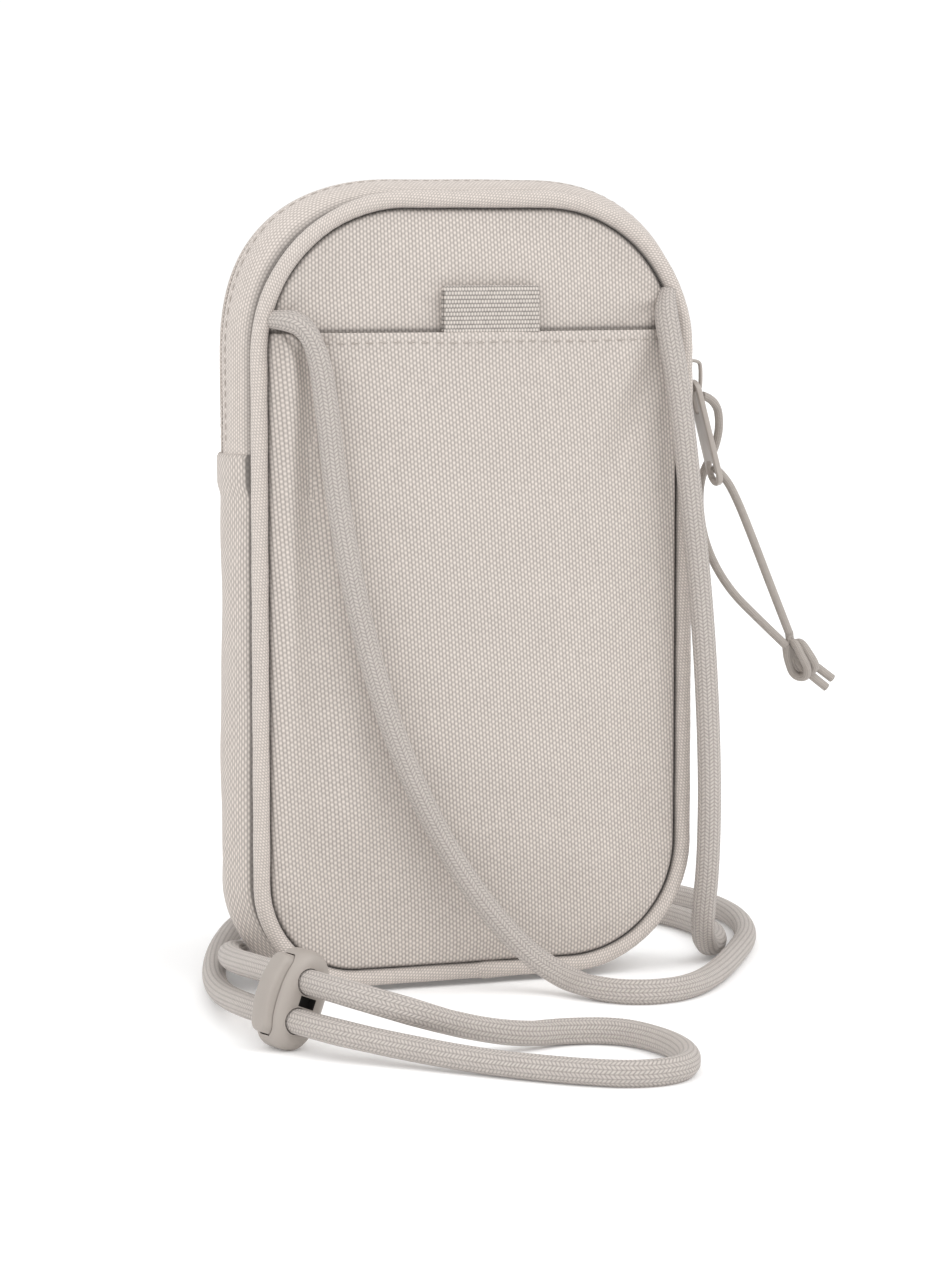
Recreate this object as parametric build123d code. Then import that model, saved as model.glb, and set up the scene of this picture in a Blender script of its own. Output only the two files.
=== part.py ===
from build123d import *
import math
import os

# Neck pouch wallet, millimetres, +Z up, -Y is the body side with the slip pocket.
# The origin is the middle of the flat base that the pouch stands on.

# ---- driving dimensions -------------------------------------------------
HW = 56.4            # half width to the middle of the piping
Z_BOT = 3.6          # middle of the piping at the bottom
Z_TOP = 197.6        # middle of the piping at the top
R_TOP = 38.0         # corner radius of the piping, top
R_BOT = 28.0         # corner radius of the piping, bottom
PIPE_Y = 12.4        # middle plane of each piping
PIPE_R = 2.1         # piping outer radius
CORE_R = 1.2         # filler cord inside the piping
GUS_Y = 10.25        # half depth of the gusset between the pipings
BULGE = 4.6          # how far the gusset stands out at mid depth
WALL = 1.0           # fabric thickness
SEAM_Z = 135.0       # height of the seams between the lower and the zipper gusset
PANEL_IN = 2.2       # panel edge inside the piping line
EDGE_Y = 11.0        # panel plane at its edge
DOME = 5.8           # crown of the panels
POCKET_TOP = 165.0   # slip pocket opening
TAB_W, TAB_X, TAB_TOP = 25.0, 2.1, 176.4   # webbing tab
CORD_D = 6.0         # neck cord
PULL_D = 2.2         # zip pull cord
LOCK_C = (-66.8, -69.0, 11.8)
LOCK_U = (0.28, -0.96, 0.0)     # along the two cords through the lock
LOCK_LEAN = 22.0                # lean of the lock about that direction, degrees
HOLE_V = 4.75                   # half distance between the two cord holes
HOLE_D = 7.0

os.makedirs("parts", exist_ok=True)


def save(shape, name):
    solids = shape.solids()
    obj = solids[0] if len(solids) == 1 else Compound(children=list(solids))
    obj.label = name
    export_step(obj, "parts/" + name + ".step")


# ---- outline and sweeps in the XZ plane ---------------------------------
def ring(d=0.0):
    """closed outline, offset outwards by d"""
    h, b, t = HW + d, Z_BOT - d, Z_TOP + d
    rb, rt = R_BOT + d, R_TOP + d
    k = math.sqrt(0.5)

    def corner(cx, cz, r, a):
        p = [(cx + r * math.cos(math.radians(a + e)), 0, cz + r * math.sin(math.radians(a + e))) for e in (0, 45, 90)]
        return ThreePointArc(*p)

    c = [corner(h - rb, b + rb, rb, -90), corner(h - rt, t - rt, rt, 0),
         corner(-h + rt, t - rt, rt, 90), corner(-h + rb, b + rb, rb, 180)]
    edges = [Line((0, 0, b), c[0] @ 0), c[0], Line(c[0] @ 1, c[1] @ 0), c[1], Line(c[1] @ 1, c[2] @ 0),
             c[2], Line(c[2] @ 1, c[3] @ 0), c[3], Line(c[3] @ 1, (0, 0, b))]
    return Wire([e.edge() for e in edges])


def path_upper(z0=SEAM_Z, z1=SEAM_Z):
    w = FilletPolyline((-HW, 0, z0), (-HW, 0, Z_TOP), (HW, 0, Z_TOP), (HW, 0, z1),
                       radius=[R_TOP, R_TOP])
    return Wire(w.edges())


def path_lower():
    w = FilletPolyline((-HW, 0, SEAM_Z), (-HW, 0, Z_BOT), (HW, 0, Z_BOT), (HW, 0, SEAM_Z),
                       radius=[R_BOT, R_BOT])
    return Wire(w.edges())


ARC_R = (GUS_Y ** 2 + BULGE ** 2) / (2 * BULGE)
ARC_C = HW + BULGE - ARC_R


def gx(y, off):
    """distance from the middle plane of the gusset surface at depth y, off inside it"""
    return ARC_C + math.sqrt((ARC_R - off) ** 2 - y ** 2)


def strip_face(y0, y1, o0, o1, z=SEAM_Z, side=-1):
    ym = (y0 + y1) / 2
    a = [Vector(side * gx(y, o0), y, z) for y in (y0, ym, y1)]
    b = [Vector(side * gx(y, o1), y, z) for y in (y1, ym, y0)]
    return make_face([ThreePointArc(*a), Line(a[2], b[0]), ThreePointArc(*b), Line(b[2], a[0])])


def fill_face(off, z=SEAM_Z):
    """filled section between the gusset arc and a chord well inside it"""
    y = GUS_Y if off == 0 else GUS_Y + 0.5
    a = [Vector(-gx(v, off), v, z) for v in (-y, 0, y)]
    c = -(HW - 6.0)
    return make_face([ThreePointArc(*a), Line(a[2], (c, y, z)), Line((c, y, z), (c, -y, z)),
                      Line((c, -y, z), a[0])])


def swept(face, path):
    s = sweep(face, path=path)
    return s


def plate_xz(d, y0, y1, z_cut=None):
    """prism of the outline offset by d between two depths"""
    f = make_face(ring(d).edges())
    s = extrude(f, amount=abs(y1 - y0), dir=(0, 1, 0)).moved(Location((0, min(y0, y1), 0)))
    return s


# ---- domed panels -------------------------------------------------------
def crown(x, z):
    return max(0.0, 1 - (x / 60.0) ** 2) * (1 - ((z - 100.6) / 103.0) ** 4)


def dome_layer(sign, inner, thick, d, z_top=None, z_bot=None):
    """layer of a panel: its outer surface stands 'inner' outside the panel plane"""
    pts = []
    for i in range(15):
        x = -63 + 126 * i / 14
        row = []
        for j in range(21):
            z = -4 + 209 * j / 20
            row.append(Vector(x, sign * (EDGE_Y + inner + DOME * crown(x, z)), z))
        pts.append(row)
    f = Face.make_surface_from_array_of_points(pts)
    s = extrude(f, amount=thick, dir=(0, -sign, 0))
    p = plate_xz(d, -30, 30)
    s = s & p
    if z_top is not None:
        s = s & Pos(0, 0, z_top - 150) * Box(200, 100, 300)
    if z_bot is not None:
        s = s & Pos(0, 0, z_bot + 150) * Box(200, 100, 300)
    return s


save(dome_layer(-1, 0.0, WALL, -PANEL_IN), "rear_panel")
save(dome_layer(-1, -WALL, 1.5, -PANEL_IN - 0.6), "rear_foam")
save(dome_layer(-1, -WALL - 1.5, 0.4, -PANEL_IN - 0.6), "rear_lining")
save(dome_layer(-1, 2.0, WALL, -PANEL_IN, z_top=POCKET_TOP), "slip_pocket_panel")
save(dome_layer(-1, 0.95, 0.8, -PANEL_IN - 1.0, z_top=POCKET_TOP, z_bot=POCKET_TOP - 10.0), "slip_pocket_hem")
save(dome_layer(1, 0.6, WALL, -PANEL_IN), "front_panel")
save(dome_layer(1, 0.6 - WALL, 1.5, -PANEL_IN - 0.6), "front_foam")
save(dome_layer(1, 0.6 - WALL - 1.5, 0.4, -PANEL_IN - 0.6), "front_lining")

# flat divider and card slots inside, sewn in at their lower edge
divider = plate_xz(-4.6, 0.2, 0.7) & Pos(0, 0, 160 - 150) * Box(200, 60, 300)
save(divider, "inner_divider")
cards = [Pos(0, 1.2 + 0.75 * k, 8.6 + (95 - 18 * k) / 2 + 4) * Box(78, 0.5, 95 - 18 * k) for k in range(3)]
save(Compound(children=cards), "card_slots")

# ---- gussets ------------------------------------------------------------
below = Pos(0, 0, SEAM_Z / 2) * Box(300, 100, SEAM_Z)
outer = swept(fill_face(0), path_lower())
inner = swept(fill_face(WALL), path_lower())
floor_cut = Pos(0, 0, -50) * Box(300, 100, 100)
floor_in = Pos(0, 0, -50 + WALL) * Box(300, 100, 100)
lower = (outer - floor_cut) - (inner - floor_in)
save(lower, "lower_gusset")
lin_o = swept(fill_face(WALL + 0.1), path_lower()) - (Pos(0, 0, -50 + WALL + 0.1) * Box(300, 100, 100))
lin_i = swept(fill_face(WALL + 0.5), path_lower()) - (Pos(0, 0, -50 + WALL + 0.5) * Box(300, 100, 100))
trim = Pos(0, 0, 100) * Box(300, 2 * 9.6, 400)
save((lin_o - lin_i) & trim, "lower_gusset_lining")

UP = path_upper()
save(swept(strip_face(-GUS_Y, -3.2, 0, 0.9), UP), "zip_gusset_rear")
save(swept(strip_face(3.2, GUS_Y, 0, 0.9), UP), "zip_gusset_front")

# zipper: closed from the left seam to the slider, open below it
Z_OPEN = 154.0
closed_path = path_upper(SEAM_Z + 1, Z_OPEN)


def run_down(y0, y1, o0, o1):
    f = strip_face(y0, y1, o0, o1, z=SEAM_Z + 1, side=1)
    return extrude(f, amount=Z_OPEN - SEAM_Z - 1, dir=(0, 0, 1))


def zip_half(s, y_in, y_out, y_open, o0, o1, y_out_open=None):
    a, b = sorted((s * y_in, s * y_out))
    c, d = sorted((s * y_open, s * (y_out_open or y_out)))
    return swept(strip_face(a, b, o0, o1, z=SEAM_Z + 1), closed_path) + run_down(c, d, o0, o1)


for s, nm in ((-1, "rear"), (1, "front")):
    save(zip_half(s, 0.15, 9.2, 1.2, 0.93, 1.5), "zip_tape_" + nm)
    save(zip_half(s, 0.15, 2.05, 1.2, -0.2, 0.9, 3.1), "zip_coil_" + nm)
stops = [Pos(sx * (HW + BULGE - 0.35), 0, SEAM_Z + 0.45) * Box(1.0, 4.0, 0.8) for sx in (-1, 1)]
save(Compound(children=stops), "zip_stops")

# ---- pipings ------------------------------------------------------------
for s, nm in ((-1, "rear"), (1, "front")):
    y = s * PIPE_Y
    path = ring(0).moved(Location((0, y, 0)))
    start = Plane(origin=(0, y, Z_BOT), x_dir=(0, 1, 0), z_dir=(1, 0, 0))
    tube = sweep(start * Circle(PIPE_R), path=path)
    core = sweep(start * Circle(CORE_R), path=path)
    save(tube - core, nm + "_piping")
    save(core, nm + "_piping_core")

# ---- webbing tab: a flat loop of webbing standing on the panel -----------
ty = -(EDGE_Y + DOME * crown(TAB_X, 165.0)) - 0.05
t0, t1, t2, t3 = ty, ty - 1.1, ty - 1.7, ty - 2.8
zb, zt = POCKET_TOP + 0.15, TAB_TOP - 1.4
tab = (Pos(TAB_X, (t0 + t1) / 2, (zb + zt) / 2) * Box(TAB_W, 1.1, zt - zb)
       + Pos(TAB_X, (t2 + t3) / 2, (zb + zt) / 2) * Box(TAB_W, 1.1, zt - zb))
cyl = Cylinder(1.4, TAB_W, rotation=(0, 90, 0)) - Cylinder(0.3, TAB_W, rotation=(0, 90, 0))
cyl = Pos(TAB_X, (t0 + t3) / 2, zt) * cyl
cyl = cyl & (Pos(TAB_X, (t0 + t3) / 2, zt + 5) * Box(TAB_W + 2, 10, 10))
tab = tab + cyl
save(tab, "webbing_tab")

# ---- slider, pull, pull cord --------------------------------------------
SX = HW + BULGE           # gusset surface on the right at mid depth
top_plate = Pos(SX + 1.2, 0, 153.0) * Box(1.3, 7.0, 9.6)
top_plate = fillet(top_plate.edges().filter_by(Axis.X), 2.0)
bot_plate = Pos(SX - 2.95, 0, 153.0) * Box(1.0, 6.4, 9.0)
post = Pos(SX - 0.9, 0, 149.6) * Box(4.2, 1.8, 2.0)
bail_o = Pos(SX + 3.75, 0, 152.4) * Box(4.2, 1.6, 8.6)
bail_o = fillet(bail_o.edges().filter_by(Axis.Y).filter_by(lambda e: e.center().X > SX + 5), 1.8)
bail_i = Pos(SX + 3.2, 0, 152.25) * Box(2.75, 3.0, 6.5)
slider = top_plate + bot_plate + post + (bail_o - bail_i)
save(slider, "zip_slider")

PIV = (SX + 3.2, 0.0, 150.5)
TILT = 14.8
pl = Plane(origin=PIV, x_dir=(0, 1, 0), z_dir=(math.cos(math.radians(TILT)), 0, math.sin(math.radians(TILT))))
# in this plane: x = depth, y = up along the tab
blade = pl * (Pos(0, -13.2, 0) * Box(7.0, 28.4, 1.5))
blade = fillet(blade.edges().filter_by(lambda e: abs((e.position_at(1) - e.position_at(0)).dot(Vector(*[pl.z_dir.X, pl.z_dir.Y, pl.z_dir.Z]))) > 1.4), 2.2)
window = pl * (Pos(0, -4.3, 0) * Box(2.7, 7.2, 4))
slot = pl * (Pos(0, -23.2, 0) * Box(4.2, 5.0, 4))
blade = blade - window - slot
save(blade, "zip_pull")

CA = [(70.0, 0.0, 128.9), (73.0, 0.0, 126.6), (76.4, -0.4, 120.8), (81.2, -1.2, 109.0), (86.2, -1.0, 97.2), (92.0, 0.0, 84.6)]
CB = [(66.8, 0.0, 147.4), (70.9, 0.6, 146.2), (73.2, 3.0, 139.5), (72.6, 5.6, 132.5), (69.3, 6.2, 126.5), (67.6, 4.0, 119.0),
      (68.6, 1.6, 108.0), (74.6, 0.6, 97.0), (84.0, 0.2, 88.0), (91.2, 0.0, 81.4)]
KNOT = (95.0, 0.0, 77.6)


def tube(points, dia, name, note=""):
    n = len(points)
    v = [Vector(*p) for p in points]
    radii = []
    for i in range(1, n - 1):
        a, b = v[i] - v[i - 1], v[i + 1] - v[i]
        turn = math.radians(a.get_angle(b))
        short = min(a.length, b.length)
        radii.append(min(0.45 * short / math.tan(turn / 2), 900.0))
        worst = max(a.length, b.length) / short
        print(name, "corner", i, "turn %.0f" % math.degrees(turn), "radius %.1f" % radii[-1],
              "run ratio %.2f" % worst)
    line = FilletPolyline(*points, radius=radii)
    wire = Wire(line.edges())
    d = v[1] - v[0]
    body = sweep(Plane(origin=v[0], z_dir=d) * Circle(dia / 2), path=wire)
    print(name, "length %.1f" % wire.length, "volume %.1f" % body.volume,
          "section x length %.1f" % (math.pi * dia ** 2 / 4 * wire.length))
    return body


save(tube(CA, PULL_D, "pull_cord_a"), "pull_cord_a")
save(tube(CB, PULL_D, "pull_cord_b"), "pull_cord_b")
kd = Vector(0.80, 0.0, -0.60)
knot = Box(7.4, 7.4, 8.8)
knot = Plane(origin=Vector(*KNOT), x_dir=(0, 1, 0), z_dir=kd) * fillet(knot.edges(), 2.9)
for off in (-1.25, 1.25):
    kp = Plane(origin=Vector(*KNOT) + Vector(0.6 * off, 0, 0.8 * off) + kd * 5.0, z_dir=kd)
    knot = knot + kp * Cylinder(PULL_D / 2, 11.0)
save(knot, "pull_knot")

# ---- neck cord ----------------------------------------------------------
u = Vector(*LOCK_U).normalized()
n0 = Vector(u.Y, -u.X, 0)                    # button side, level
lean = math.radians(LOCK_LEAN)
vv = Vector(0, 0, 1) * math.cos(lean) - n0 * math.sin(lean)
nn = n0 * math.cos(lean) + Vector(0, 0, 1) * math.sin(lean)
C = Vector(*LOCK_C)
LO, HI = C - vv * HOLE_V, C + vv * HOLE_V
a_in, a_out, b_out, b_in = LO - u * 17, LO + u * 15, HI + u * 15, HI - u * 17
ROUTE = [(-51.0, -16.3, 168.3), (-47.0, -18.4, 166.8), (-43.4, -20.0, 160.0), (-41.8, -21.3, 147.2),
         (-39.8, -22.8, 124.0), (-33.4, -23.8, 90.0), (-23.0, -24.2, 58.0), (-8.0, -24.6, 29.5),
         (7.5, -27.0, 10.5), (16.5, -33.0, 4.2), (20.5, -44.0, 3.1), (29.5, -52.0, 3.1),
         (42.0, -50.0, 3.1), (54.5, -37.5, 3.1), (71.0, -13.5, 3.1), (86.5, 12.0, 3.1),
         (95.5, 44.0, 3.1), (92.5, 76.0, 3.1), (73.0, 101.0, 3.1), (36.0, 111.0, 3.1),
         (-4.0, 104.0, 3.1), (-34.0, 80.0, 3.1), (-51.0, 44.0, 3.1), (-63.2, 9.0, 3.2),
         (-70.3, -21.5, 4.4), (a_in.X, a_in.Y, a_in.Z), (a_out.X, a_out.Y, a_out.Z),
         (-50.5, -95.5, 4.8), (-34.5, -112.0, 3.1), (-20.5, -126.5, 3.1), (-6.5, -136.5, 3.1),
         (6.5, -134.0, 3.1), (12.8, -120.5, 3.1), (12.8, -104.0, 3.1), (7.2, -91.5, 3.1),
         (-5.0, -87.2, 3.1), (-18.5, -92.0, 4.2), (-33.0, -92.5, 7.4), (-47.5, -94.0, 12.6),
         (b_out.X, b_out.Y, b_out.Z), (b_in.X, b_in.Y, b_in.Z), (-68.2, -24.5, 13.0),
         (-60.8, 2.0, 9.6), (-47.5, 30.0, 3.8), (-28.0, 60.0, 3.1), (2.0, 78.0, 3.1),
         (36.0, 82.0, 3.1), (63.0, 71.0, 3.1), (78.0, 49.0, 3.1), (80.0, 22.0, 3.1),
         (74.0, 4.0, 3.1), (66.5, -5.0, 3.6), (62.0, -13.0, 12.0), (61.4, -18.5, 29.0),
         (60.8, -20.2, 56.0), (58.4, -20.9, 92.0), (54.4, -21.0, 126.0), (51.6, -20.8, 149.0),
         (49.8, -18.6, 163.0), (49.0, -16.6, 172.4)]
save(tube(ROUTE, CORD_D, "neck_cord"), "neck_cord")
save(Pos(-51.7, -15.2, 168.0) * Box(1.8, 5.2, 5.4), "cord_anchor_left")
save(Pos(47.8, -15.6, 173.8) * Box(4.0, 5.0, 2.6), "cord_anchor_right")

# ---- cord lock ----------------------------------------------------------
lp = Plane(origin=C, x_dir=nn, z_dir=u)        # x = towards the button, y = along the lock, z = along the cords
L_LEN = 11.0
sec = Pos(-0.85, 0, 0) * SlotCenterToCenter(24.0 - 12.7, 12.7, rotation=90)
body = extrude(sec, amount=L_LEN / 2, both=True)
body = fillet(body.edges(), 1.6)
body = body - Pos(10 + 5.5, 0, 0) * Box(20, 40, 40)
for k in (-1, 1):
    body = body - Pos(0, k * HOLE_V, 0) * Cylinder(HOLE_D / 2, 40)
body = body - Pos(0, 0, 0) * Box(12.0, 18.4, 4.6)                  # plunger cavity, to x = -6
body = body - Pos(3.0, 0, 0) * Box(6.0, 18.4, 4.6)
body = body - Pos(5.5, 0, 0) * Box(2.6, 19.8, 8.0)                 # recess for the button head
body = body - Pos(-3.9, 0, 4.5) * Box(3.6, 2.4, 6.0)               # window onto the spring
save(lp * body, "lock_body")
head = Pos(7.0, 0, 0) * Box(2.8, 19.2, 7.4)
head = fillet(head.edges().filter_by(Axis.Z), 1.2)
stem = Pos(0.55, 0, 0) * Box(10.2, 17.8, 4.0)
for k in (-1, 1):
    stem = stem - Pos(0.7, k * HOLE_V, 0) * Box(8.1, 6.8, 10)
stem = stem - Pos(-1.2, 0, 0) * Box(7.4, 2.7, 2.6)
save(lp * (head + stem), "lock_button")
# the spring stops short of the button's pocket by the press travel
spring = Pos(-2.4, 0, 0) * (Cylinder(1.15, 7.1, rotation=(0, 90, 0)) - Cylinder(0.8, 7.1, rotation=(0, 90, 0)))
save(lp * spring, "lock_spring")
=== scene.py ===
import bpy, bmesh, math
import numpy as np
from mathutils import Vector, Matrix


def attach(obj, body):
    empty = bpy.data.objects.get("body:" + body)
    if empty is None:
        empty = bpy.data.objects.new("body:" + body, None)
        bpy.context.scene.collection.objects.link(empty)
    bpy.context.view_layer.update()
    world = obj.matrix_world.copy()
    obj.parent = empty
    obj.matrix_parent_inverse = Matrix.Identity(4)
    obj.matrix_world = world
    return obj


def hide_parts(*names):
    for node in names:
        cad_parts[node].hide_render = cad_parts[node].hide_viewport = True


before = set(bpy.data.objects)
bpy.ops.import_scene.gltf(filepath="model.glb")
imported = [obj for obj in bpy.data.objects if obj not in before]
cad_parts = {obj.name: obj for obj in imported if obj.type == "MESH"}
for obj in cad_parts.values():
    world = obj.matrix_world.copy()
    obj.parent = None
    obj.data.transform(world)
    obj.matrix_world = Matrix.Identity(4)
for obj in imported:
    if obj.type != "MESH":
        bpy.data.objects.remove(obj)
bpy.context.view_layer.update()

MM = 0.001
scene = bpy.context.scene


def lin(r, g, b, k=1.0):
    def f(c):
        c = c / 255.0
        return k * (c / 12.92 if c <= 0.04045 else ((c + 0.055) / 1.055) ** 2.4)
    return (f(r), f(g), f(b), 1.0)


# ======================= camera, light, floor ============================
cam_data = bpy.data.cameras.new("cam")
cam_data.sensor_width = 36.0
cam_data.lens = 110.9
cam = bpy.data.objects.new("cam", cam_data)
cam.location = (-0.3331, -0.9270, 0.1945)
cam.rotation_euler = (math.radians(90 - 6.161), 0, math.radians(-20))
scene.collection.objects.link(cam)
scene.camera = cam
scene.view_settings.view_transform = "Standard"
scene.view_settings.look = "None"

world = bpy.data.worlds.new("studio")
scene.world = world
world.use_nodes = True
wt = world.node_tree
wt.nodes["Background"].inputs[0].default_value = (1.0, 1.0, 1.0, 1)
wt.nodes["Background"].inputs[1].default_value = 0.85
seen = wt.nodes.new("ShaderNodeBackground")
seen.inputs[0].default_value = (1.0, 1.0, 1.0, 1)
seen.inputs[1].default_value = 1.05
pick, ray = wt.nodes.new("ShaderNodeMixShader"), wt.nodes.new("ShaderNodeLightPath")
wt.links.new(ray.outputs["Is Camera Ray"], pick.inputs[0])
wt.links.new(wt.nodes["Background"].outputs[0], pick.inputs[1])
wt.links.new(seen.outputs[0], pick.inputs[2])
wt.links.new(pick.outputs[0], wt.nodes["World Output"].inputs["Surface"])


def sun(name, frm, strength, angle):
    d = bpy.data.lights.new(name, "SUN")
    d.energy, d.angle = strength, math.radians(angle)
    o = bpy.data.objects.new(name, d)
    o.rotation_euler = (-Vector(frm)).to_track_quat("-Z", "Y").to_euler()
    scene.collection.objects.link(o)
    return o


sun("key", (0.50, -0.72, 1.0), 0.98, 45)
sun("fill", (-0.9, -0.45, 0.85), 0.90, 90)


def new_object(name, verts, faces, mat=None, uvs=None, smooth=True):
    me = bpy.data.meshes.new(name)
    me.from_pydata([tuple(float(c) * MM for c in v) for v in verts], [], faces)
    if uvs is not None:
        layer = me.uv_layers.new(name="UVMap")
        flat = np.array([c for f in uvs for q in f for c in q], float)
        layer.data.foreach_set("uv", flat)
    me.update()
    if smooth:
        me.polygons.foreach_set("use_smooth", [True] * len(me.polygons))
    o = bpy.data.objects.new(name, me)
    scene.collection.objects.link(o)
    if mat is not None:
        me.materials.append(mat)
    return o


def fix_normals(o):
    bm = bmesh.new()
    bm.from_mesh(o.data)
    bmesh.ops.recalc_face_normals(bm, faces=bm.faces)
    bm.to_mesh(o.data)
    bm.free()
    o.data.update()


def grid_faces(n, m, base=0, wrap_n=False, wrap_m=False, flip=False):
    out = []
    for i in range(n if wrap_n else n - 1):
        for j in range(m if wrap_m else m - 1):
            i2, j2 = (i + 1) % n, (j + 1) % m
            q = (base + i * m + j, base + i2 * m + j, base + i2 * m + j2, base + i * m + j2)
            out.append(q[::-1] if flip else q)
    return out


def shell(name, A, B, mat, UV=None, seam_shade=None):
    """closed piece between two grids of equal size: A outside, B inside"""
    n, m = len(A), len(A[0])
    verts = [p for r in A for p in r] + [p for r in B for p in r]
    off = n * m
    faces = grid_faces(n, m) + grid_faces(n, m, off, flip=True)
    rim = [(i, 0) for i in range(n)] + [(n - 1, j) for j in range(1, m)]
    rim += [(i, m - 1) for i in range(n - 2, -1, -1)] + [(0, j) for j in range(m - 2, 0, -1)]
    idx = [i * m + j for i, j in rim]
    for k in range(len(idx)):
        a, b = idx[k], idx[(k + 1) % len(idx)]
        faces.append((b, a, a + off, b + off))
    uvs = None
    if UV is not None:
        flat = [q for r in UV for q in r]
        flat = flat + flat
        uvs = [[flat[v] for v in f] for f in faces]
    o = new_object(name, verts, faces, mat, uvs)
    # per-point weights of painted shade along seams, stored as a point attribute that the fabric materials read
    if seam_shade is not None:
        w = [float(q) for r in seam_shade for q in r]
        at = o.data.attributes.new("seam_shade", "FLOAT", "POINT")
        at.data.foreach_set("value", w + w)
    fix_normals(o)
    return o


# ============================ materials ==================================
class Nodes:
    def __init__(self, name):
        self.mat = bpy.data.materials.new(name)
        self.mat.use_nodes = True
        self.t = self.mat.node_tree
        self.b = self.t.nodes["Principled BSDF"]

    def n(self, kind, **kw):
        x = self.t.nodes.new(kind)
        for k, v in kw.items():
            setattr(x, k, v)
        return x

    def put(self, sock, v):
        if isinstance(v, (int, float)):
            sock.default_value = v
        elif isinstance(v, tuple):
            sock.default_value = v
        else:
            self.t.links.new(v, sock)

    def m(self, op, a, b=None, c=None, clamp=False):
        x = self.n("ShaderNodeMath", operation=op, use_clamp=clamp)
        self.put(x.inputs[0], a)
        if b is not None:
            self.put(x.inputs[1], b)
        if c is not None:
            self.put(x.inputs[2], c)
        return x.outputs[0]

    def mix(self, f, a, b):
        x = self.n("ShaderNodeMix", data_type="RGBA")
        self.put(x.inputs[0], f)
        self.put(x.inputs[6], a)
        self.put(x.inputs[7], b)
        return x.outputs[2]

    def noise(self, vec, scale, detail=2.0):
        x = self.n("ShaderNodeTexNoise")
        x.inputs["Scale"].default_value = scale
        x.inputs["Detail"].default_value = detail
        self.t.links.new(vec, x.inputs["Vector"])
        return x.outputs["Fac"]

    def obj(self):
        return self.n("ShaderNodeTexCoord").outputs["Object"]

    def uv(self):
        return self.n("ShaderNodeTexCoord").outputs["UV"]

    def split(self, vec):
        x = self.n("ShaderNodeSeparateXYZ")
        self.t.links.new(vec, x.inputs[0])
        return x.outputs

    def rough(self, fac, lo, hi):
        x = self.n("ShaderNodeMapRange")
        self.put(x.inputs[0], fac)
        x.inputs[3].default_value, x.inputs[4].default_value = lo, hi
        self.t.links.new(x.outputs[0], self.b.inputs["Roughness"])

    def bump(self, h, dist, strength=1.0):
        x = self.n("ShaderNodeBump")
        x.inputs["Distance"].default_value = dist
        x.inputs["Strength"].default_value = strength
        self.t.links.new(h, x.inputs["Height"])
        self.t.links.new(x.outputs["Normal"], self.b.inputs["Normal"])
        return x


BASE = (203, 194, 187)


def weave_material(name, rgb, px, pz, angle=0.0, use_uv=False, depth=0.00016, contrast=1.0, gain=1.0):
    """plain weave: columns px mm apart, rows pz mm apart, turned by angle degrees"""
    s = Nodes(name)
    ob = s.obj()
    if use_uv:
        q = s.split(s.uv())
        X, Z = q[0], q[1]
    else:
        q = s.split(ob)
        X, Z = s.m("MULTIPLY", q[0], 1000.0), s.m("MULTIPLY", q[2], 1000.0)
    a = math.radians(angle)
    wob = s.m("SUBTRACT", s.noise(ob, 45.0, 1.0), 0.5)
    U = s.m("ADD", s.m("MULTIPLY", X, math.cos(a)), s.m("MULTIPLY", Z, math.sin(a)))
    V = s.m("ADD", s.m("MULTIPLY", X, -math.sin(a)), s.m("MULTIPLY", Z, math.cos(a)))
    U = s.m("ADD", U, s.m("MULTIPLY", wob, 0.22))
    V = s.m("ADD", V, s.m("MULTIPLY", wob, 0.22))
    su = s.m("SINE", s.m("MULTIPLY", U, math.pi / px))
    sv = s.m("SINE", s.m("MULTIPLY", V, math.pi / pz))
    bead = s.m("MULTIPLY", s.m("SIGN", su), sv)
    bead = s.m("ADD", 0.70, s.m("MULTIPLY", bead, 0.30))
    h = s.m("MULTIPLY", s.m("POWER", s.m("ABSOLUTE", su), 0.62), bead)
    yarn = s.noise(ob, 700.0, 2.0)
    big = s.noise(ob, 28.0, 3.0)
    # painted shade and highlight: the colour runs from a darker tone (lo) in the weave's grooves to a lighter tone (hi)
    # on the bead tops, by the same height h as the bump; the yarn noise adds random tone
    hi = lin(*[min(255, c * 1.10) for c in rgb], gain)
    lo = lin(*[c * (1 - 0.36 * contrast) for c in rgb], gain)
    tone = s.m("ADD", s.m("MULTIPLY", h, 0.82), s.m("MULTIPLY", yarn, 0.25), clamp=True)
    col = s.mix(tone, lo, hi)
    dark = lin(*[c * 0.955 for c in rgb], gain)
    mm = s.n("ShaderNodeMix", data_type="RGBA", blend_type="MULTIPLY")
    s.put(mm.inputs[0], 1.0)
    s.put(mm.inputs[6], col)
    var = s.m("ADD", 0.96, s.m("MULTIPLY", big, 0.08))
    cmb = s.n("ShaderNodeCombineXYZ")
    for k in range(3):
        s.put(cmb.inputs[k], var)
    s.put(mm.inputs[7], cmb.outputs[0])
    # painted shade: a per-point attribute darkens the colour towards 0.36 of it in the grooves along seams and edges,
    # where shade falls
    seam_shade = s.n("ShaderNodeAttribute", attribute_name="seam_shade").outputs["Fac"]
    shade = s.mix(s.m("MULTIPLY", seam_shade, 0.8, clamp=True), mm.outputs[2], lin(*[c * 0.36 for c in rgb]))
    s.t.links.new(shade, s.b.inputs["Base Color"])
    s.rough(h, 0.92, 0.72)
    s.b.inputs["Sheen Weight"].default_value = 0.12
    s.b.inputs["Sheen Roughness"].default_value = 0.45
    s.b.inputs["Specular IOR Level"].default_value = 0.28
    s.bump(s.m("ADD", h, s.m("MULTIPLY", yarn, 0.18)), depth, 0.6)
    return s.mat


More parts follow.
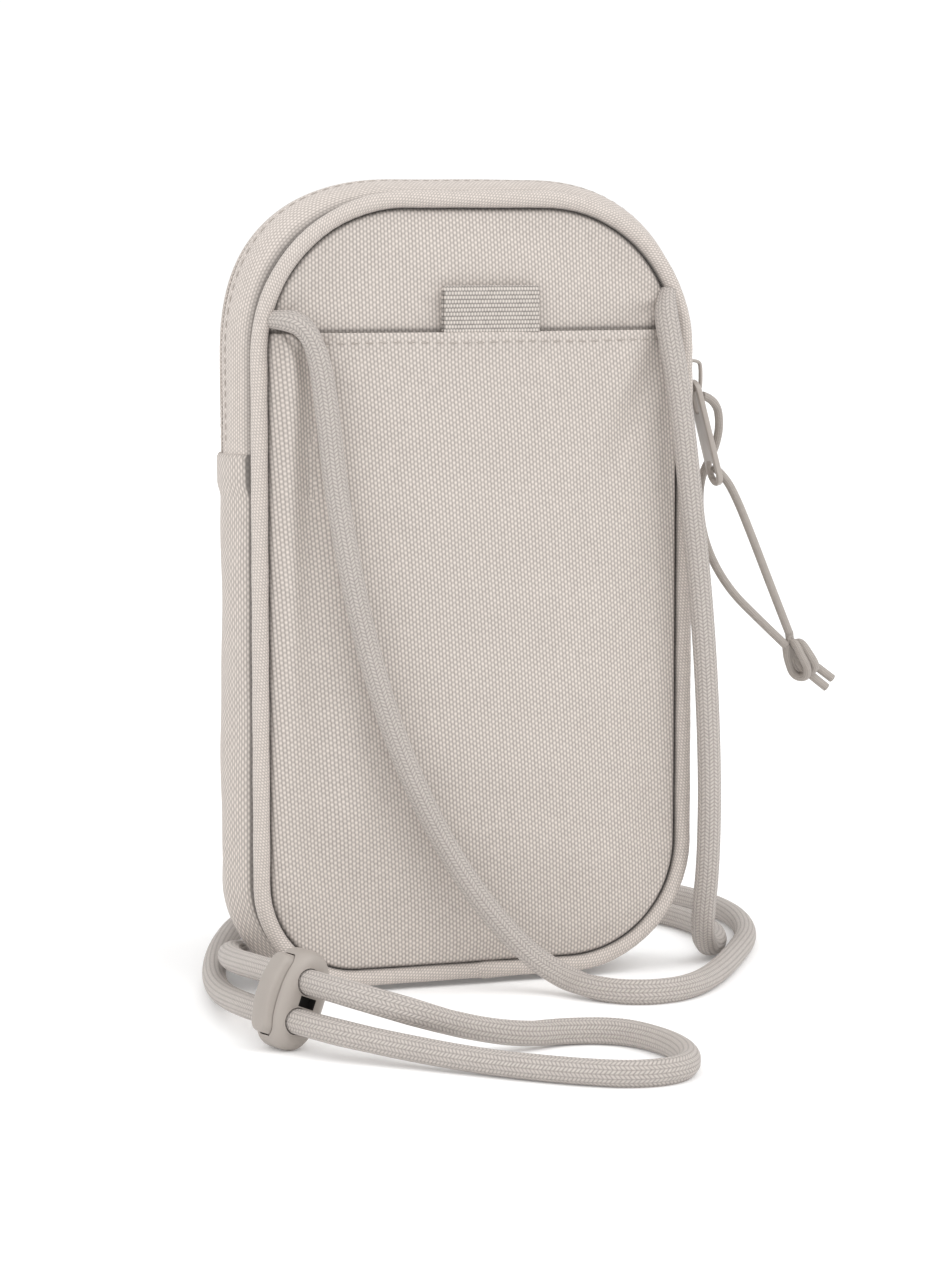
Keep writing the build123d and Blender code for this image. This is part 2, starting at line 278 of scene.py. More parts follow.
def braid_material(name, rgb, pitch, gain=1.0, depth=0.00022, slant=0.85):
    """tubular braid: u counts the columns round the cord, v is millimetres along it"""
    s = Nodes(name)
    q = s.split(s.uv())
    ob = s.obj()
    U, V = q[0], q[1]
    f = s.m("FRACT", U)
    par = s.m("SUBTRACT", s.m("MULTIPLY", s.m("GREATER_THAN", s.m("FRACT", s.m("MULTIPLY", U, 0.5)), 0.5), 2.0), 1.0)
    w = s.m("ADD", s.m("DIVIDE", V, pitch), s.m("MULTIPLY", s.m("MULTIPLY", s.m("SUBTRACT", f, 0.5), slant), par))
    st = s.m("POWER", s.m("ABSOLUTE", s.m("SINE", s.m("MULTIPLY", w, math.pi))), 0.55)
    e = s.m("POWER", s.m("ABSOLUTE", s.m("SUBTRACT", s.m("MULTIPLY", f, 2.0), 1.0)), 3.0)
    h = s.m("MULTIPLY", st, s.m("SUBTRACT", 1.0, s.m("MULTIPLY", e, 0.75)))
    yarn = s.noise(ob, 900.0, 2.0)
    big = s.noise(ob, 40.0, 2.0)
    # painted shade and highlight: the braid's grooves and the edges of its columns are coloured darker and the stitch
    # crests lighter, by the same height h as the bump
    tone = s.m("ADD", s.m("MULTIPLY", h, 0.8), s.m("MULTIPLY", yarn, 0.28), clamp=True)
    tone = s.m("SUBTRACT", tone, s.m("MULTIPLY", big, 0.10), clamp=True)
    col = s.mix(tone, lin(*[c * 0.74 for c in rgb], gain), lin(*[min(255, c * 1.05) for c in rgb], gain))
    s.t.links.new(col, s.b.inputs["Base Color"])
    s.rough(h, 0.9, 0.66)
    s.b.inputs["Sheen Weight"].default_value = 0.15
    s.b.inputs["Sheen Roughness"].default_value = 0.4
    s.b.inputs["Specular IOR Level"].default_value = 0.3
    s.bump(s.m("ADD", h, s.m("MULTIPLY", yarn, 0.15)), depth, 0.9)
    return s.mat


def plastic_material(name, rgb, lo, hi, grain=1500.0, depth=0.00002, gain=1.0, metallic=0.0, coat=0.0):
    s = Nodes(name)
    ob = s.obj()
    a, b = s.noise(ob, grain, 3.0), s.noise(ob, 90.0, 3.0)
    col = s.mix(b, lin(*[c * 0.97 for c in rgb], gain), lin(*[min(255, c * 1.03) for c in rgb], gain))
    s.t.links.new(col, s.b.inputs["Base Color"])
    s.rough(s.m("ADD", s.m("MULTIPLY", a, 0.5), s.m("MULTIPLY", b, 0.5)), lo, hi)
    s.b.inputs["Metallic"].default_value = metallic
    s.b.inputs["Coat Weight"].default_value = coat
    s.b.inputs["Coat Roughness"].default_value = 0.25
    s.bump(a, depth, 0.5)
    return s.mat


M_panel = weave_material("body_weave", BASE, 0.89, 0.62, angle=0.6)
M_pocket = weave_material("pocket_weave", BASE, 0.89, 0.62, angle=4.4)
M_front = weave_material("front_weave", BASE, 0.89, 0.62, angle=0.0)
M_gus = weave_material("gusset_weave", BASE, 0.66, 0.86, use_uv=True, depth=0.00014)
M_gus_up = weave_material("gusset_fine_weave", BASE, 0.59, 0.5, use_uv=True, depth=0.0001, contrast=0.8)
M_pipe = weave_material("piping_bias", BASE, 0.60, 0.50, angle=45.0, use_uv=True, depth=0.00012, contrast=0.8)
M_lin = weave_material("lining_weave", (150, 146, 143), 0.4, 0.4, depth=0.00005, contrast=0.5)
M_lin_uv = weave_material("lining_weave_strip", (150, 146, 143), 0.4, 0.4, use_uv=True, depth=0.00005, contrast=0.5)
M_tape = weave_material("zip_tape_weave", (206, 197, 190), 0.5, 0.36, use_uv=True, depth=0.00008)
M_web = weave_material("webbing_weave", (204, 196, 189), 1.03, 0.39, angle=90.0, depth=0.00016, contrast=1.9)
# the thread is darker than the fabric: partly its own tone, partly painted shade of the needle holes
M_thread = plastic_material("thread", (170, 162, 155), 0.6, 0.8, grain=3000.0, depth=0.00003)
M_foam = plastic_material("foam", (176, 176, 178), 0.85, 0.98, grain=1400.0, depth=0.0002)
M_coil = plastic_material("zip_coil_nylon", (196, 187, 180), 0.35, 0.55)
M_metal = plastic_material("painted_metal", (172, 164, 157), 0.32, 0.46, depth=0.00001, coat=0.2)
M_lock = plastic_material("lock_satin", (161, 153, 146), 0.38, 0.52, depth=0.000012)
# near-black plastic that stands in for the shade inside the lock's window recess: painted shade
M_recess_shade = plastic_material("lock_recess_shade", (40, 38, 36), 0.6, 0.8)
M_spring = plastic_material("spring_steel", (120, 118, 116), 0.25, 0.4, metallic=1.0)
M_cord = braid_material("neck_cord_braid", (192, 184, 178), 0.95)
M_pull = braid_material("pull_cord_braid", (178, 170, 163), 0.42, depth=0.00008, slant=0.5)
M_core = plastic_material("filler_cord", (225, 222, 218), 0.8, 0.95, grain=900.0, depth=0.0001)

# floor
floor = new_object("floor", [(-4000, -3000, 0), (4000, -3000, 0), (4000, 5000, 0), (-4000, 5000, 0)],
                   [(0, 1, 2, 3)])
fm = Nodes("floor_white")
fm.t.links.new(fm.mix(fm.noise(fm.obj(), 3.0), (0.93, 0.93, 0.93, 1), (0.94, 0.94, 0.94, 1)), fm.b.inputs["Base Color"])
fm.b.inputs["Roughness"].default_value = 0.9
fm.b.inputs["Specular IOR Level"].default_value = 0.0
fm.b.inputs["Emission Color"].default_value = (1.0, 1.0, 1.0, 1.0)
fm.b.inputs["Emission Strength"].default_value = 0.10
floor.data.materials.append(fm.mat)


# ============================== cords ====================================
def nurbs_line(name, pts, step):
    cu = bpy.data.curves.new(name, "CURVE")
    cu.dimensions = "3D"
    sp = cu.splines.new("NURBS")
    sp.points.add(len(pts) - 1)
    for p, q in zip(sp.points, pts):
        p.co = (q[0] * MM, q[1] * MM, q[2] * MM, 1.0)
    sp.order_u = 3
    sp.use_endpoint_u = True
    sp.resolution_u = 40
    ob = bpy.data.objects.new(name, cu)
    scene.collection.objects.link(ob)
    bpy.context.view_layer.update()
    me = bpy.data.meshes.new_from_object(ob.evaluated_get(bpy.context.evaluated_depsgraph_get()))
    P = np.array([tuple(v.co) for v in me.vertices], float) / MM
    bpy.data.objects.remove(ob)
    bpy.data.meshes.remove(me)
    d = np.r_[0, np.cumsum(np.linalg.norm(np.diff(P, axis=0), axis=1))]
    n = max(4, int(round(d[-1] / step)))
    s = np.linspace(0, d[-1], n + 1)
    return np.stack([np.interp(s, d, P[:, k]) for k in range(3)], 1), s


def tube_arrays(P, s, shape, seg, cols, base=0):
    """vertices, faces and uvs of a tube along P; shape(i, phi) gives the radius, phi from the bend's direction"""
    n = len(P)
    T = np.gradient(P, axis=0)
    T /= np.linalg.norm(T, axis=1)[:, None]
    N = np.zeros_like(T)
    v = np.array([0, 0, 1.0]) if abs(T[0][2]) < 0.8 else np.array([1.0, 0, 0])
    v = v - T[0] * v.dot(T[0])
    N[0] = v / np.linalg.norm(v)
    for i in range(1, n):
        v = N[i - 1] - T[i] * N[i - 1].dot(T[i])
        N[i] = v / np.linalg.norm(v)
    B = np.cross(T, N)
    K = np.gradient(T, axis=0) / np.gradient(s)[:, None]
    ker = np.ones(9) / 9
    if n > 12:
        K = np.stack([np.convolve(np.pad(K[:, k], 4, mode="edge"), ker, mode="valid") for k in range(3)], 1)
    ang = np.arctan2((K * B).sum(1), (K * N).sum(1))
    mag = np.linalg.norm(K, axis=1)
    verts, faces, uvs = [], [], []
    for i in range(n):
        for j in range(seg):
            t = 2 * math.pi * j / seg
            r = shape(i, s[i], t - ang[i], mag[i], t)
            verts.append(P[i] + r * (math.cos(t) * N[i] + math.sin(t) * B[i]))
    for i in range(n - 1):
        for j in range(seg):
            j2 = (j + 1) % seg
            faces.append((base + i * seg + j, base + i * seg + j2, base + (i + 1) * seg + j2, base + (i + 1) * seg + j))
            a, b = cols * j / seg, cols * (j + 1) / seg
            uvs.append([(a, s[i]), (b, s[i]), (b, s[i + 1]), (a, s[i + 1])])
    for e, i in ((0, 0), (1, n - 1)):
        ring = [base + i * seg + j for j in range(seg)]
        if e == 0:
            ring = ring[::-1]
        faces.append(tuple(ring))
        uvs.append([(cols * k / seg, s[i]) for k in range(seg)])
    return verts, faces, uvs


def sstep(x, a, b):
    t = np.clip((x - a) / (b - a), 0.0, 1.0)
    return t * t * (3 - 2 * t)


ROUTE = [(-53.4, -12.6, 168.4), (-50.6, -16.4, 168.6), (-46.6, -18.6, 166.9), (-43.4, -20.0, 160.0), (-41.8, -21.3, 147.2),
         (-39.8, -22.8, 124.0), (-33.4, -23.8, 90.0), (-23.0, -24.2, 58.0), (-8.0, -24.6, 29.5),
         (7.5, -27.0, 10.5), (16.5, -33.0, 4.2), (20.5, -44.0, 3.1), (29.5, -52.0, 3.1),
         (42.0, -50.0, 3.1), (54.5, -37.5, 3.1), (71.0, -13.5, 3.1), (86.5, 12.0, 3.1),
         (95.5, 44.0, 3.1), (92.5, 76.0, 3.1), (73.0, 101.0, 3.1), (36.0, 111.0, 3.1),
         (-4.0, 104.0, 3.1), (-34.0, 80.0, 3.1), (-51.0, 44.0, 3.1), (-63.2, 9.0, 3.2),
         (-70.3, -21.5, 4.4), (-73.27, -53.18, 7.4), (-64.31, -83.9, 7.4),
         (-50.5, -95.5, 4.8), (-34.5, -112.0, 3.1), (-20.5, -126.5, 3.1), (-6.5, -136.5, 3.1),
         (6.5, -134.0, 3.1), (12.8, -120.5, 3.1), (12.8, -104.0, 3.1), (7.2, -91.5, 3.1),
         (-5.0, -87.2, 3.1), (-18.5, -92.0, 4.2), (-33.0, -92.5, 7.4), (-47.5, -94.0, 12.6),
         (-60.89, -82.9, 16.2), (-69.85, -52.18, 16.2), (-68.2, -24.5, 13.0),
         (-60.8, 2.0, 9.6), (-47.5, 30.0, 3.8), (-28.0, 60.0, 3.1), (2.0, 78.0, 3.1),
         (36.0, 82.0, 3.1), (63.0, 71.0, 3.1), (78.0, 49.0, 3.1), (80.0, 22.0, 3.1),
         (74.0, 4.0, 3.1), (66.5, -5.0, 3.6), (62.0, -13.0, 12.0), (61.4, -18.5, 29.0),
         (60.8, -20.2, 56.0), (58.4, -20.9, 92.0), (54.4, -21.0, 126.0), (51.6, -20.8, 149.0),
         (49.8, -18.6, 163.0), (49.6, -15.2, 171.0), (51.6, -12.6, 174.4)]
CP, CS = nurbs_line("neck_line", ROUTE, 1.2)
CL = CS[-1]


def cord_shape(i, s, phi, k, t):
    r = 3.0
    f = min(0.16, k * 2.6)
    r = r * (1 - f * math.cos(phi) ** 2 + 0.35 * f * math.sin(phi) ** 2)
    g = min(1.0, max(0.0, (k - 0.028) / 0.03))
    r *= 1 + 0.035 * g * math.cos(7 * phi)
    e = min(s, CL - s)
    if e < 7.0:
        r *= 0.78 + 0.22 * float(sstep(e, 0, 7.0))
    return r


v, f, uv = tube_arrays(CP, CS, cord_shape, 28, 16)
neck = new_object("neck_cord_braided", v, f, M_cord, uv)
fix_normals(neck)
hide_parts("neck_cord", "cord_anchor_left", "cord_anchor_right")
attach(neck, "pouch")

CA = [(70.0, 0.0, 128.9), (73.0, 0.0, 126.6), (76.4, -0.4, 120.8), (81.2, -1.2, 109.0), (86.2, -1.0, 97.2), (92.0, 0.0, 84.6)]
CB = [(66.8, 0.0, 147.4), (70.9, 0.6, 146.2), (73.2, 3.0, 139.5), (72.6, 5.6, 132.5), (69.3, 6.2, 126.5), (67.6, 4.0, 119.0),
      (68.6, 1.6, 108.0), (74.6, 0.6, 97.0), (84.0, 0.2, 88.0), (91.2, 0.0, 81.4)]
KD = np.array([0.8, 0.0, -0.6])
KB = np.array([0.6, 0.0, 0.8])
KC = np.array([0.0, 1.0, 0.0])
KNOT = np.array([95.0, 0.0, 77.6])


def thin(i, s, phi, k, t):
    return 1.1


kv, kf, kuv = [], [], []
for side in (-1, 1):
    o1 = 1.1 * side
    first = [(-7.0, 4.2, 0.0), (-4.6, 1.9, 0.4)] if side > 0 else [(-5.6, 1.0, 0.0), (-4.2, -0.2, 0.6)]
    loc = first + [(-1.6, -1.0 + 0.5 * o1, 2.5), (2.2, -2.9 + o1, 2.3), (4.3, -2.0 + o1 * 0.8, -0.2),
           (3.1 + 0.8 * side, 0.0 + 0.8 * o1, -2.9), (-1.0 + 0.9 * side, 1.4 + 0.7 * o1, -3.5),
           (-4.0 + 0.7 * side, 3.2 + 0.5 * o1, -1.6), (-3.6 + 0.7 * side, 2.6 + 0.3 * o1, 1.9), (-0.8, 1.0 + 0.5 * o1, 2.6),
           (1.6, 0.0 + o1, 0.4), (4.2, o1 * 1.2, -0.1), (7.0, o1 * 1.25, 0.0), (10.8, o1 * 1.3, 0.1 * side)]
    pts = [tuple(KNOT + a * KD + b * KB + c * KC) for a, b, c in loc]
    P, S = nurbs_line("knot_line", pts, 0.45)
    v, f, uv = tube_arrays(P, S, thin, 14, 12, base=len(kv))
    kv += list(v); kf += f; kuv += uv
knot = new_object("pull_knot_tied", kv, kf, M_pull, kuv)
fix_normals(knot)
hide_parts("pull_knot")
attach(knot, "pull")
for nm, pts, ln in (("pull_cord_a", CA, 0.050), ("pull_cord_b", CB, 0.0799)):
    P, S = nurbs_line(nm + "_line", pts, 0.5)
    v, f, uv = tube_arrays(P, S, thin, 16, 12)
    o = new_object(nm + "_braided", v, f, M_pull, uv)
    fix_normals(o)
    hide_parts(nm)
    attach(o, "pull")

# ========================= outline of the pouch ==========================
HW, ZB, ZT = 56.4, 3.6, 197.6
R_TL = R_TR = 38.0
R_BL, R_BR = 25.0, 31.0
PIPE_Y = 12.4


def outline(step=1.0):
    """points (x, z), outward normals and arc length, from the middle of the bottom to the right and round"""
    pts = []

    def line(x0, z0, x1, z1, nx, nz):
        L = math.hypot(x1 - x0, z1 - z0)
        for k in range(max(1, int(L / step))):
            t = k / max(1, int(L / step))
            pts.append((x0 + (x1 - x0) * t, z0 + (z1 - z0) * t, nx, nz))

    def arc(cx, cz, r, a0):
        n = int(r * math.pi / 2 / step)
        for k in range(n):
            a = math.radians(a0 + 90.0 * k / n)
            pts.append((cx + r * math.cos(a), cz + r * math.sin(a), math.cos(a), math.sin(a)))

    line(0, ZB, HW - R_BR, ZB, 0, -1)
    arc(HW - R_BR, ZB + R_BR, R_BR, -90)
    line(HW, ZB + R_BR, HW, ZT - R_TR, 1, 0)
    arc(HW - R_TR, ZT - R_TR, R_TR, 0)
    line(HW - R_TR, ZT, -HW + R_TL, ZT, 0, 1)
    arc(-HW + R_TL, ZT - R_TL, R_TL, 90)
    line(-HW, ZT - R_TL, -HW, ZB + R_BL, -1, 0)
    arc(-HW + R_BL, ZB + R_BL, R_BL, 180)
    line(-HW + R_BL, ZB, 0, ZB, 0, -1)
    A = np.array(pts, float)
    d = np.r_[0, np.cumsum(np.hypot(np.diff(A[:, 0]), np.diff(A[:, 1])))]
    return A, d


OUT, OS = outline(0.9)
OLEN = OS[-1] + math.hypot(OUT[0, 0] - OUT[-1, 0], OUT[0, 1] - OUT[-1, 1])


def half_width(z, side, ins):
    """x of the outline, inset by ins, at height z"""
    rb, rt = (R_BR, R_TR) if side > 0 else (R_BL, R_TL)
    w = HW - ins
    for zc, r in ((ZB + rb, rb), (ZT - rt, rt)):
        r2 = r - ins
        dz = (zc - z) if zc < 100 else (z - zc)
        if dz > 0:
            w = min(w, HW - r + math.sqrt(max(0.0, r2 * r2 - dz * dz)))
    return w


def crown(x, z):
    return np.maximum(0.0, 1 - (x / 60.0) ** 2) * (1 - ((z - 100.6) / 103.0) ** 4)


def gauss(d, w):
    return np.exp(-(d / w) ** 2)


def row_heights(z0, z1, step, fine=0.35):
    zs = [z0]
    while zs[-1] < z1 - 1e-6:
        z = zs[-1]
        e = min(z - z0, z1 - z)
        zs.append(min(z1, z + min(step, fine + e * 0.06)))
    return zs


def panel_grid(z0, z1, ins, cols, step):
    zs = row_heights(z0, z1, step)
    X, Z = [], []
    for z in zs:
        a, b = -half_width(z, -1, ins), half_width(z, 1, ins)
        t = np.linspace(0, 1, cols)
        t = t - 0.55 * np.sin(2 * math.pi * t) / (2 * math.pi)
        X.append(a + (b - a) * t)
        Z.append(np.full(cols, z))
    return np.array(X), np.array(Z)


def edge_dist(X, Z, ins):
    """distance to the inset outline, inwards"""
    W = np.empty_like(X)
    for i in range(X.shape[0]):
        for j in range(X.shape[1]):
            x, z = X[i, j], Z[i, j]
            left = x < 0
            rb, rt = (R_BL, R_TL) if left else (R_BR, R_TR)
            ax = abs(x)
            d = min(HW - ins - ax, z - ZB - ins, ZT - ins - z)
            for zc, r in ((ZB + rb, rb), (ZT - rt, rt)):
                dz = (zc - z) if zc < 100 else (z - zc)
                dx = ax - (HW - r)
                if dz > 0 and dx > 0:
                    d = (r - ins) - math.hypot(dx, dz)
            W[i, j] = max(0.0, d)
    return W


def ripple(X, Z):
    return (0.22 * np.sin(X * 0.115 + 0.7 + Z * 0.021) * np.sin(Z * 0.06 + 1.3)
            + 0.12 * np.sin(X * 0.24 - Z * 0.09) + 0.08 * np.sin(Z * 0.31 + X * 0.05 + 2.0))


def rear_relief(X, Z):
    """soft shapes of the back fabric, positive outwards"""
    h = ripple(X, Z)
    # strain lines from the left cord end
    dx, dz = X + 53.0, Z - 167.0
    ang, rad = np.arctan2(dz, dx), np.hypot(dx, dz)
    h += 0.55 * np.sin(ang * 7.0 + 0.6) * np.exp(-rad / 13.0) * sstep(rad, 1.5, 5.0)
    dx, dz = X - 51.0, Z - 172.0
    ang, rad = np.arctan2(dz, dx), np.hypot(dx, dz)
    h += 0.5 * np.sin(ang * 6.0 + 2.0) * np.exp(-rad / 14.0) * sstep(rad, 1.5, 5.0)
    # broad hollow above the pocket on the right, and over its left end
    h -= 0.9 * gauss((X - 30) * 0.7 + (Z - 182) * 0.7, 9) * gauss((X - 30) * -0.7 + (Z - 182) * 0.7, 22)
    h -= 0.8 * gauss((X + 36) * 0.8 - (Z - 176) * 0.5, 7) * gauss((X + 36) * 0.5 + (Z - 176) * 0.8, 16)
    return h


def pocket_relief(X, Z):
    h = ripple(X + 9, Z)
    # long hollow beside the left edge
    xc = -43.5 + 2.0 * np.sin(Z * 0.035)
    h -= 1.25 * gauss(X - xc, 5.2) * sstep(Z, 6, 40) * (1 - sstep(Z, 120, 158))
    h += 1.7 * gauss(X + 49.3, 3.0) * sstep(Z, 60, 120) * (1 - sstep(Z, 161, 165))
    h -= 1.5 * gauss(X + 42.8, 3.2) * sstep(Z, 85, 140)
    h += 0.5 * gauss(X - xc - 9.5, 5.0) * sstep(Z, 20, 50) * (1 - sstep(Z, 120, 160))
    # slack at the lower left corner
    h -= 1.1 * gauss((X + 33) * 0.8 + (Z - 26) * 0.6, 7) * gauss((X + 33) * 0.6 - (Z - 26) * 0.8, 26)
    # soft diagonal fold below the right end of the opening
    a, b = (X - 44) * 0.9 - (Z - 150) * 0.42, (X - 44) * 0.42 + (Z - 150) * 0.9
    h -= 1.3 * gauss(a, 3.6) * gauss(b, 17)
    h += 0.8 * gauss(a + 6.5, 4.2) * gauss(b, 19)
    # right lower side
    h -= 0.8 * gauss(X - 47 + (Z - 45) * 0.12, 5.0) * gauss(Z - 45, 30)
    # strain from the left cord end
    dx, dz = X + 51.0, Z - 166.0
    ang, rad = np.arctan2(dz, dx), np.hypot(dx, dz)
    h += 0.6 * np.sin(ang * 8.0 + 0.3) * np.exp(-rad / 15.0)
    # the opening stands off over the webbing loop
    h += 1.25 * gauss(np.maximum(0, np.abs(X - 2.1) - 12.0), 4.0) * gauss(Z - 165, 5.0)
    return h


def panel_piece(name, mat, sign, inner_mid, inner_edge, thick, ins, z0, z1, cols, step, relief=None, roll=0.0,
                edge_dip=1.5, ramp=7.0, shadow_line_z=0.0):
    X, Z = panel_grid(z0, z1, ins, cols, step)
    D = edge_dist(X, Z, ins)
    inner = inner_edge + (inner_mid - inner_edge) * sstep(D, 0.0, ramp)
    y = 11.0 + 5.8 * crown(X, Z) + inner
    if relief is not None:
        y = y + relief(X, Z) * sstep(D, 0.0, 7.0)
    y = y - edge_dip * np.exp(-(D / 0.75) ** 2)
    yi = y - thick
    Zo = Z.copy()
    if roll > 0:
        e = np.clip((Z - (z1 - roll)) / roll, 0, 1)
        drop = roll * (1 - np.sqrt(np.maximum(0, 1 - e * e)))
        y = y - np.minimum(drop, thick * 0.5)
        yi = yi + np.minimum(drop, thick * 0.5) * 0.98
    A = [[(X[i, j], sign * y[i, j], Zo[i, j]) for j in range(X.shape[1])] for i in range(X.shape[0])]
    B = [[(X[i, j], sign * yi[i, j], Zo[i, j]) for j in range(X.shape[1])] for i in range(X.shape[0])]
    # painted shade: weights darken the fabric in the groove along the panel's edge and, when a height is given, in a
    # painted shadow line just above the pocket's opening
    seam_shade_weights = np.exp(-(D / 0.95) ** 2)
    if shadow_line_z:
        seam_shade_weights = np.maximum(seam_shade_weights, 0.8 * gauss(Z - shadow_line_z - 0.35, 0.65))
    return shell(name, A, B, mat, None, seam_shade_weights)


PT = 165.0
FINE = 0.62
rear = panel_piece("rear_panel_fabric", M_panel, -1, 0.0, 0.0, 1.0, 1.75, ZB + 1.75, ZT - 1.75, 176, FINE, rear_relief,
                   shadow_line_z=PT)
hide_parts("rear_panel"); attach(rear, "pouch")
pocket = panel_piece("slip_pocket_fabric", M_pocket, -1, 2.0, 1.05, 0.75, 1.75, ZB + 1.75, PT, 176, FINE, pocket_relief,
                     roll=0.4)
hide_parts("slip_pocket_panel"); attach(pocket, "pouch")
hem = panel_piece("slip_pocket_hem_fold", M_pocket, -1, 1.2, 0.28, 0.6, 2.6, PT - 10.0, PT - 0.15, 150, 0.8,
                  pocket_relief, roll=0.3)
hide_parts("slip_pocket_hem"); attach(hem, "pouch")
front = panel_piece("front_panel_fabric", M_front, 1, 0.6, 0.2, 1.0, 1.75, ZB + 1.75, ZT - 1.75, 150, 0.8,
                    lambda X, Z: ripple(X + 31, Z + 17) * 1.5)
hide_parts("front_panel"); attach(front, "pouch")
for nm, sg, inn in (("rear", -1, -1.0), ("front", 1, -0.4)):
    o = panel_piece(nm + "_foam_pad", M_foam, sg, inn - 0.05, inn - 0.05, 1.4, 3.0, ZB + 3.0, ZT - 3.0, 60, 2.2,
                    rear_relief if sg < 0 else (lambda X, Z: ripple(X + 31, Z + 17) * 1.5), edge_dip=0.4)
    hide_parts(nm + "_foam"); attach(o, "pouch")
    o = panel_piece(nm + "_lining_cloth", M_lin, sg, inn - 1.5, inn - 1.5, 0.35, 3.0, ZB + 3.0, ZT - 3.0, 60, 2.2,
                    rear_relief if sg < 0 else (lambda X, Z: ripple(X + 31, Z + 17) * 1.5), edge_dip=0.4)
    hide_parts(nm + "_lining"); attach(o, "pouch")


def flat_piece(name, mat, x0, x1, z0, z1, y, t, cols, step, ins, wob, round_it=True):
    zs = row_heights(z0, z1, step)
    A, B = [], []
    for z in zs:
        a = max(x0, -half_width(z, -1, ins)) if round_it else x0
        b = min(x1, half_width(z, 1, ins)) if round_it else x1
        A.append([]); B.append([])
        for k in range(cols):
            x = a + (b - a) * k / (cols - 1)
            h = wob * math.sin(x * 0.08 + 1.1) * math.sin(z * 0.045 + 0.4)
            A[-1].append((x, y + h, z)); B[-1].append((x, y + h + t, z))
    return shell(name, A, B, mat)


div = flat_piece("inner_divider_cloth", M_lin, -51.6, 51.6, ZB + 4.8, 160.0, 0.25, 0.4, 60, 2.4, 4.8, 0.12)
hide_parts("inner_divider"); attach(div, "pouch")
cvs, cfs = [], []
for k in range(3):
    h = 95 - 18 * k
    o = flat_piece("card_layer", M_lin, -39, 39, 12.6, 12.6 + h, 0.98 + 0.75 * k, 0.42, 40, 2.4, 0, 0.06, False)
    if k == 0:
        cards = o
        cards.name = "card_slots_cloth"
    else:
        bm = bmesh.new(); bm.from_mesh(cards.data); bm.from_mesh(o.data); bm.to_mesh(cards.data); bm.free()
        bpy.data.objects.remove(o)
cards.data.polygons.foreach_set("use_smooth", [True] * len(cards.data.polygons))
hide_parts("card_slots"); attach(cards, "pouch")

# ============================ gussets ====================================
GUS_Y, BULGE = 10.25, 4.6
ARC_R = (GUS_Y ** 2 + BULGE ** 2) / (2 * BULGE)
ARC_C = BULGE - ARC_R


def bulge(y):
    y = min(abs(y), 12.0)
    return ARC_C + math.sqrt(max(0.0, ARC_R ** 2 - y ** 2))


def fuller(x, z, nx, nz, y):
    """the gusset stands out more at its top corners and low on the left"""
    f = max(0.0, 1 - (y / 11.6) ** 2)
    e = 0.0
    if nz > 0 and nx < 0:
        e += 2.7 * (2 * abs(nx * nz)) ** 1.9
    if nz > 0 and nx > 0:
        e += 1.6 * (2 * abs(nx * nz)) ** 1.9
    if nz > 0:
        e += 0.55 * nz * nz * math.exp(-(x / 30.0) ** 2)
    if x < 0 and nx < 0:
        e += (1.25 + 0.5 * math.exp(-((z - 45) / 32.0) ** 2)) * nx * nx
    return e * f


def path_part(z_cut, upper):
    """outline points of the part above or below z_cut, in order"""
    n = len(OUT)
    if upper:
        ids = [i for i in range(n) if OUT[i, 1] >= z_cut]
        return OUT[ids], OS[ids]
    ids = [i for i in range(n) if OUT[i, 1] <= z_cut]
    k = next(j for j in range(len(ids) - 1) if ids[j + 1] - ids[j] > 1)
    order = ids[k + 1:] + ids[:k + 1]
    S = np.array([OS[i] - (OLEN if i > n / 2 else 0) for i in order])
    return OUT[order], S


def strip(name, mat, A, S, ys, off_out, off_in, clamp=False, uvk=1.0):
    """closed strip of fabric along the outline; offsets are functions of (y, s, index)"""
    G, H, UV, seam_shade_weights = [], [], [], []
    for i in range(len(A)):
        x, z, nx, nz = A[i]
        yy = ys(i) if callable(ys) else ys
        g, h, q, w = [], [], [], 0.0
        for j, y in enumerate(yy):
            e = fuller(x, z, nx, nz, y)
            o1, o2 = off_out(y, S[i], i) + e, off_in(y, S[i], i) + e
            p, r = [x + nx * o1, y, z + nz * o1], [x + nx * o2, y, z + nz * o2]
            if clamp:
                p[2] = max(p[2], 0.06 + 0.02 * math.sin(x * 0.7)); r[2] = max(r[2], 0.9)
            if j:
                w += abs(y - yy[j - 1]) * 1.06
            g.append(tuple(p)); h.append(tuple(r)); q.append((w, S[i] * uvk))
        G.append(g); H.append(h); UV.append(q)
        # painted shade: the strip darkens towards its long edges, where it tucks in beside the pipings
        seam_shade_weights.append([math.exp(-(max(0.0, 9.25 - abs(y)) / 0.4) ** 2) for y in yy])
    return shell(name, G, H, mat, UV, seam_shade_weights)


def gus_wave(y, s):
    return (0.16 * math.sin(s * 0.11 + y * 0.3) + 0.10 * math.sin(s * 0.23 - y * 0.5 + 1.0)) * max(0.0, 1 - (y / 11) ** 2)


LOW, LOWS = path_part(135.6, False)
s_lo, s_hi = LOWS[0], LOWS[-1]


def low_off(y, s, i):
    e = min(s - s_lo, s_hi - s)
    up = 0.85 * (1 - float(sstep(e, 7.0, 11.0))) * (0.35 + 0.65 * float(sstep(e, 0.0, 0.7)))
    corner = 0.45 * math.exp(-((abs(s) - 62) / 16.0) ** 2) * math.sin(y * 0.75 + s * 0.05)
    return bulge(y) + gus_wave(y, s) + up + corner * max(0.0, 1 - (y / 10.5) ** 2)


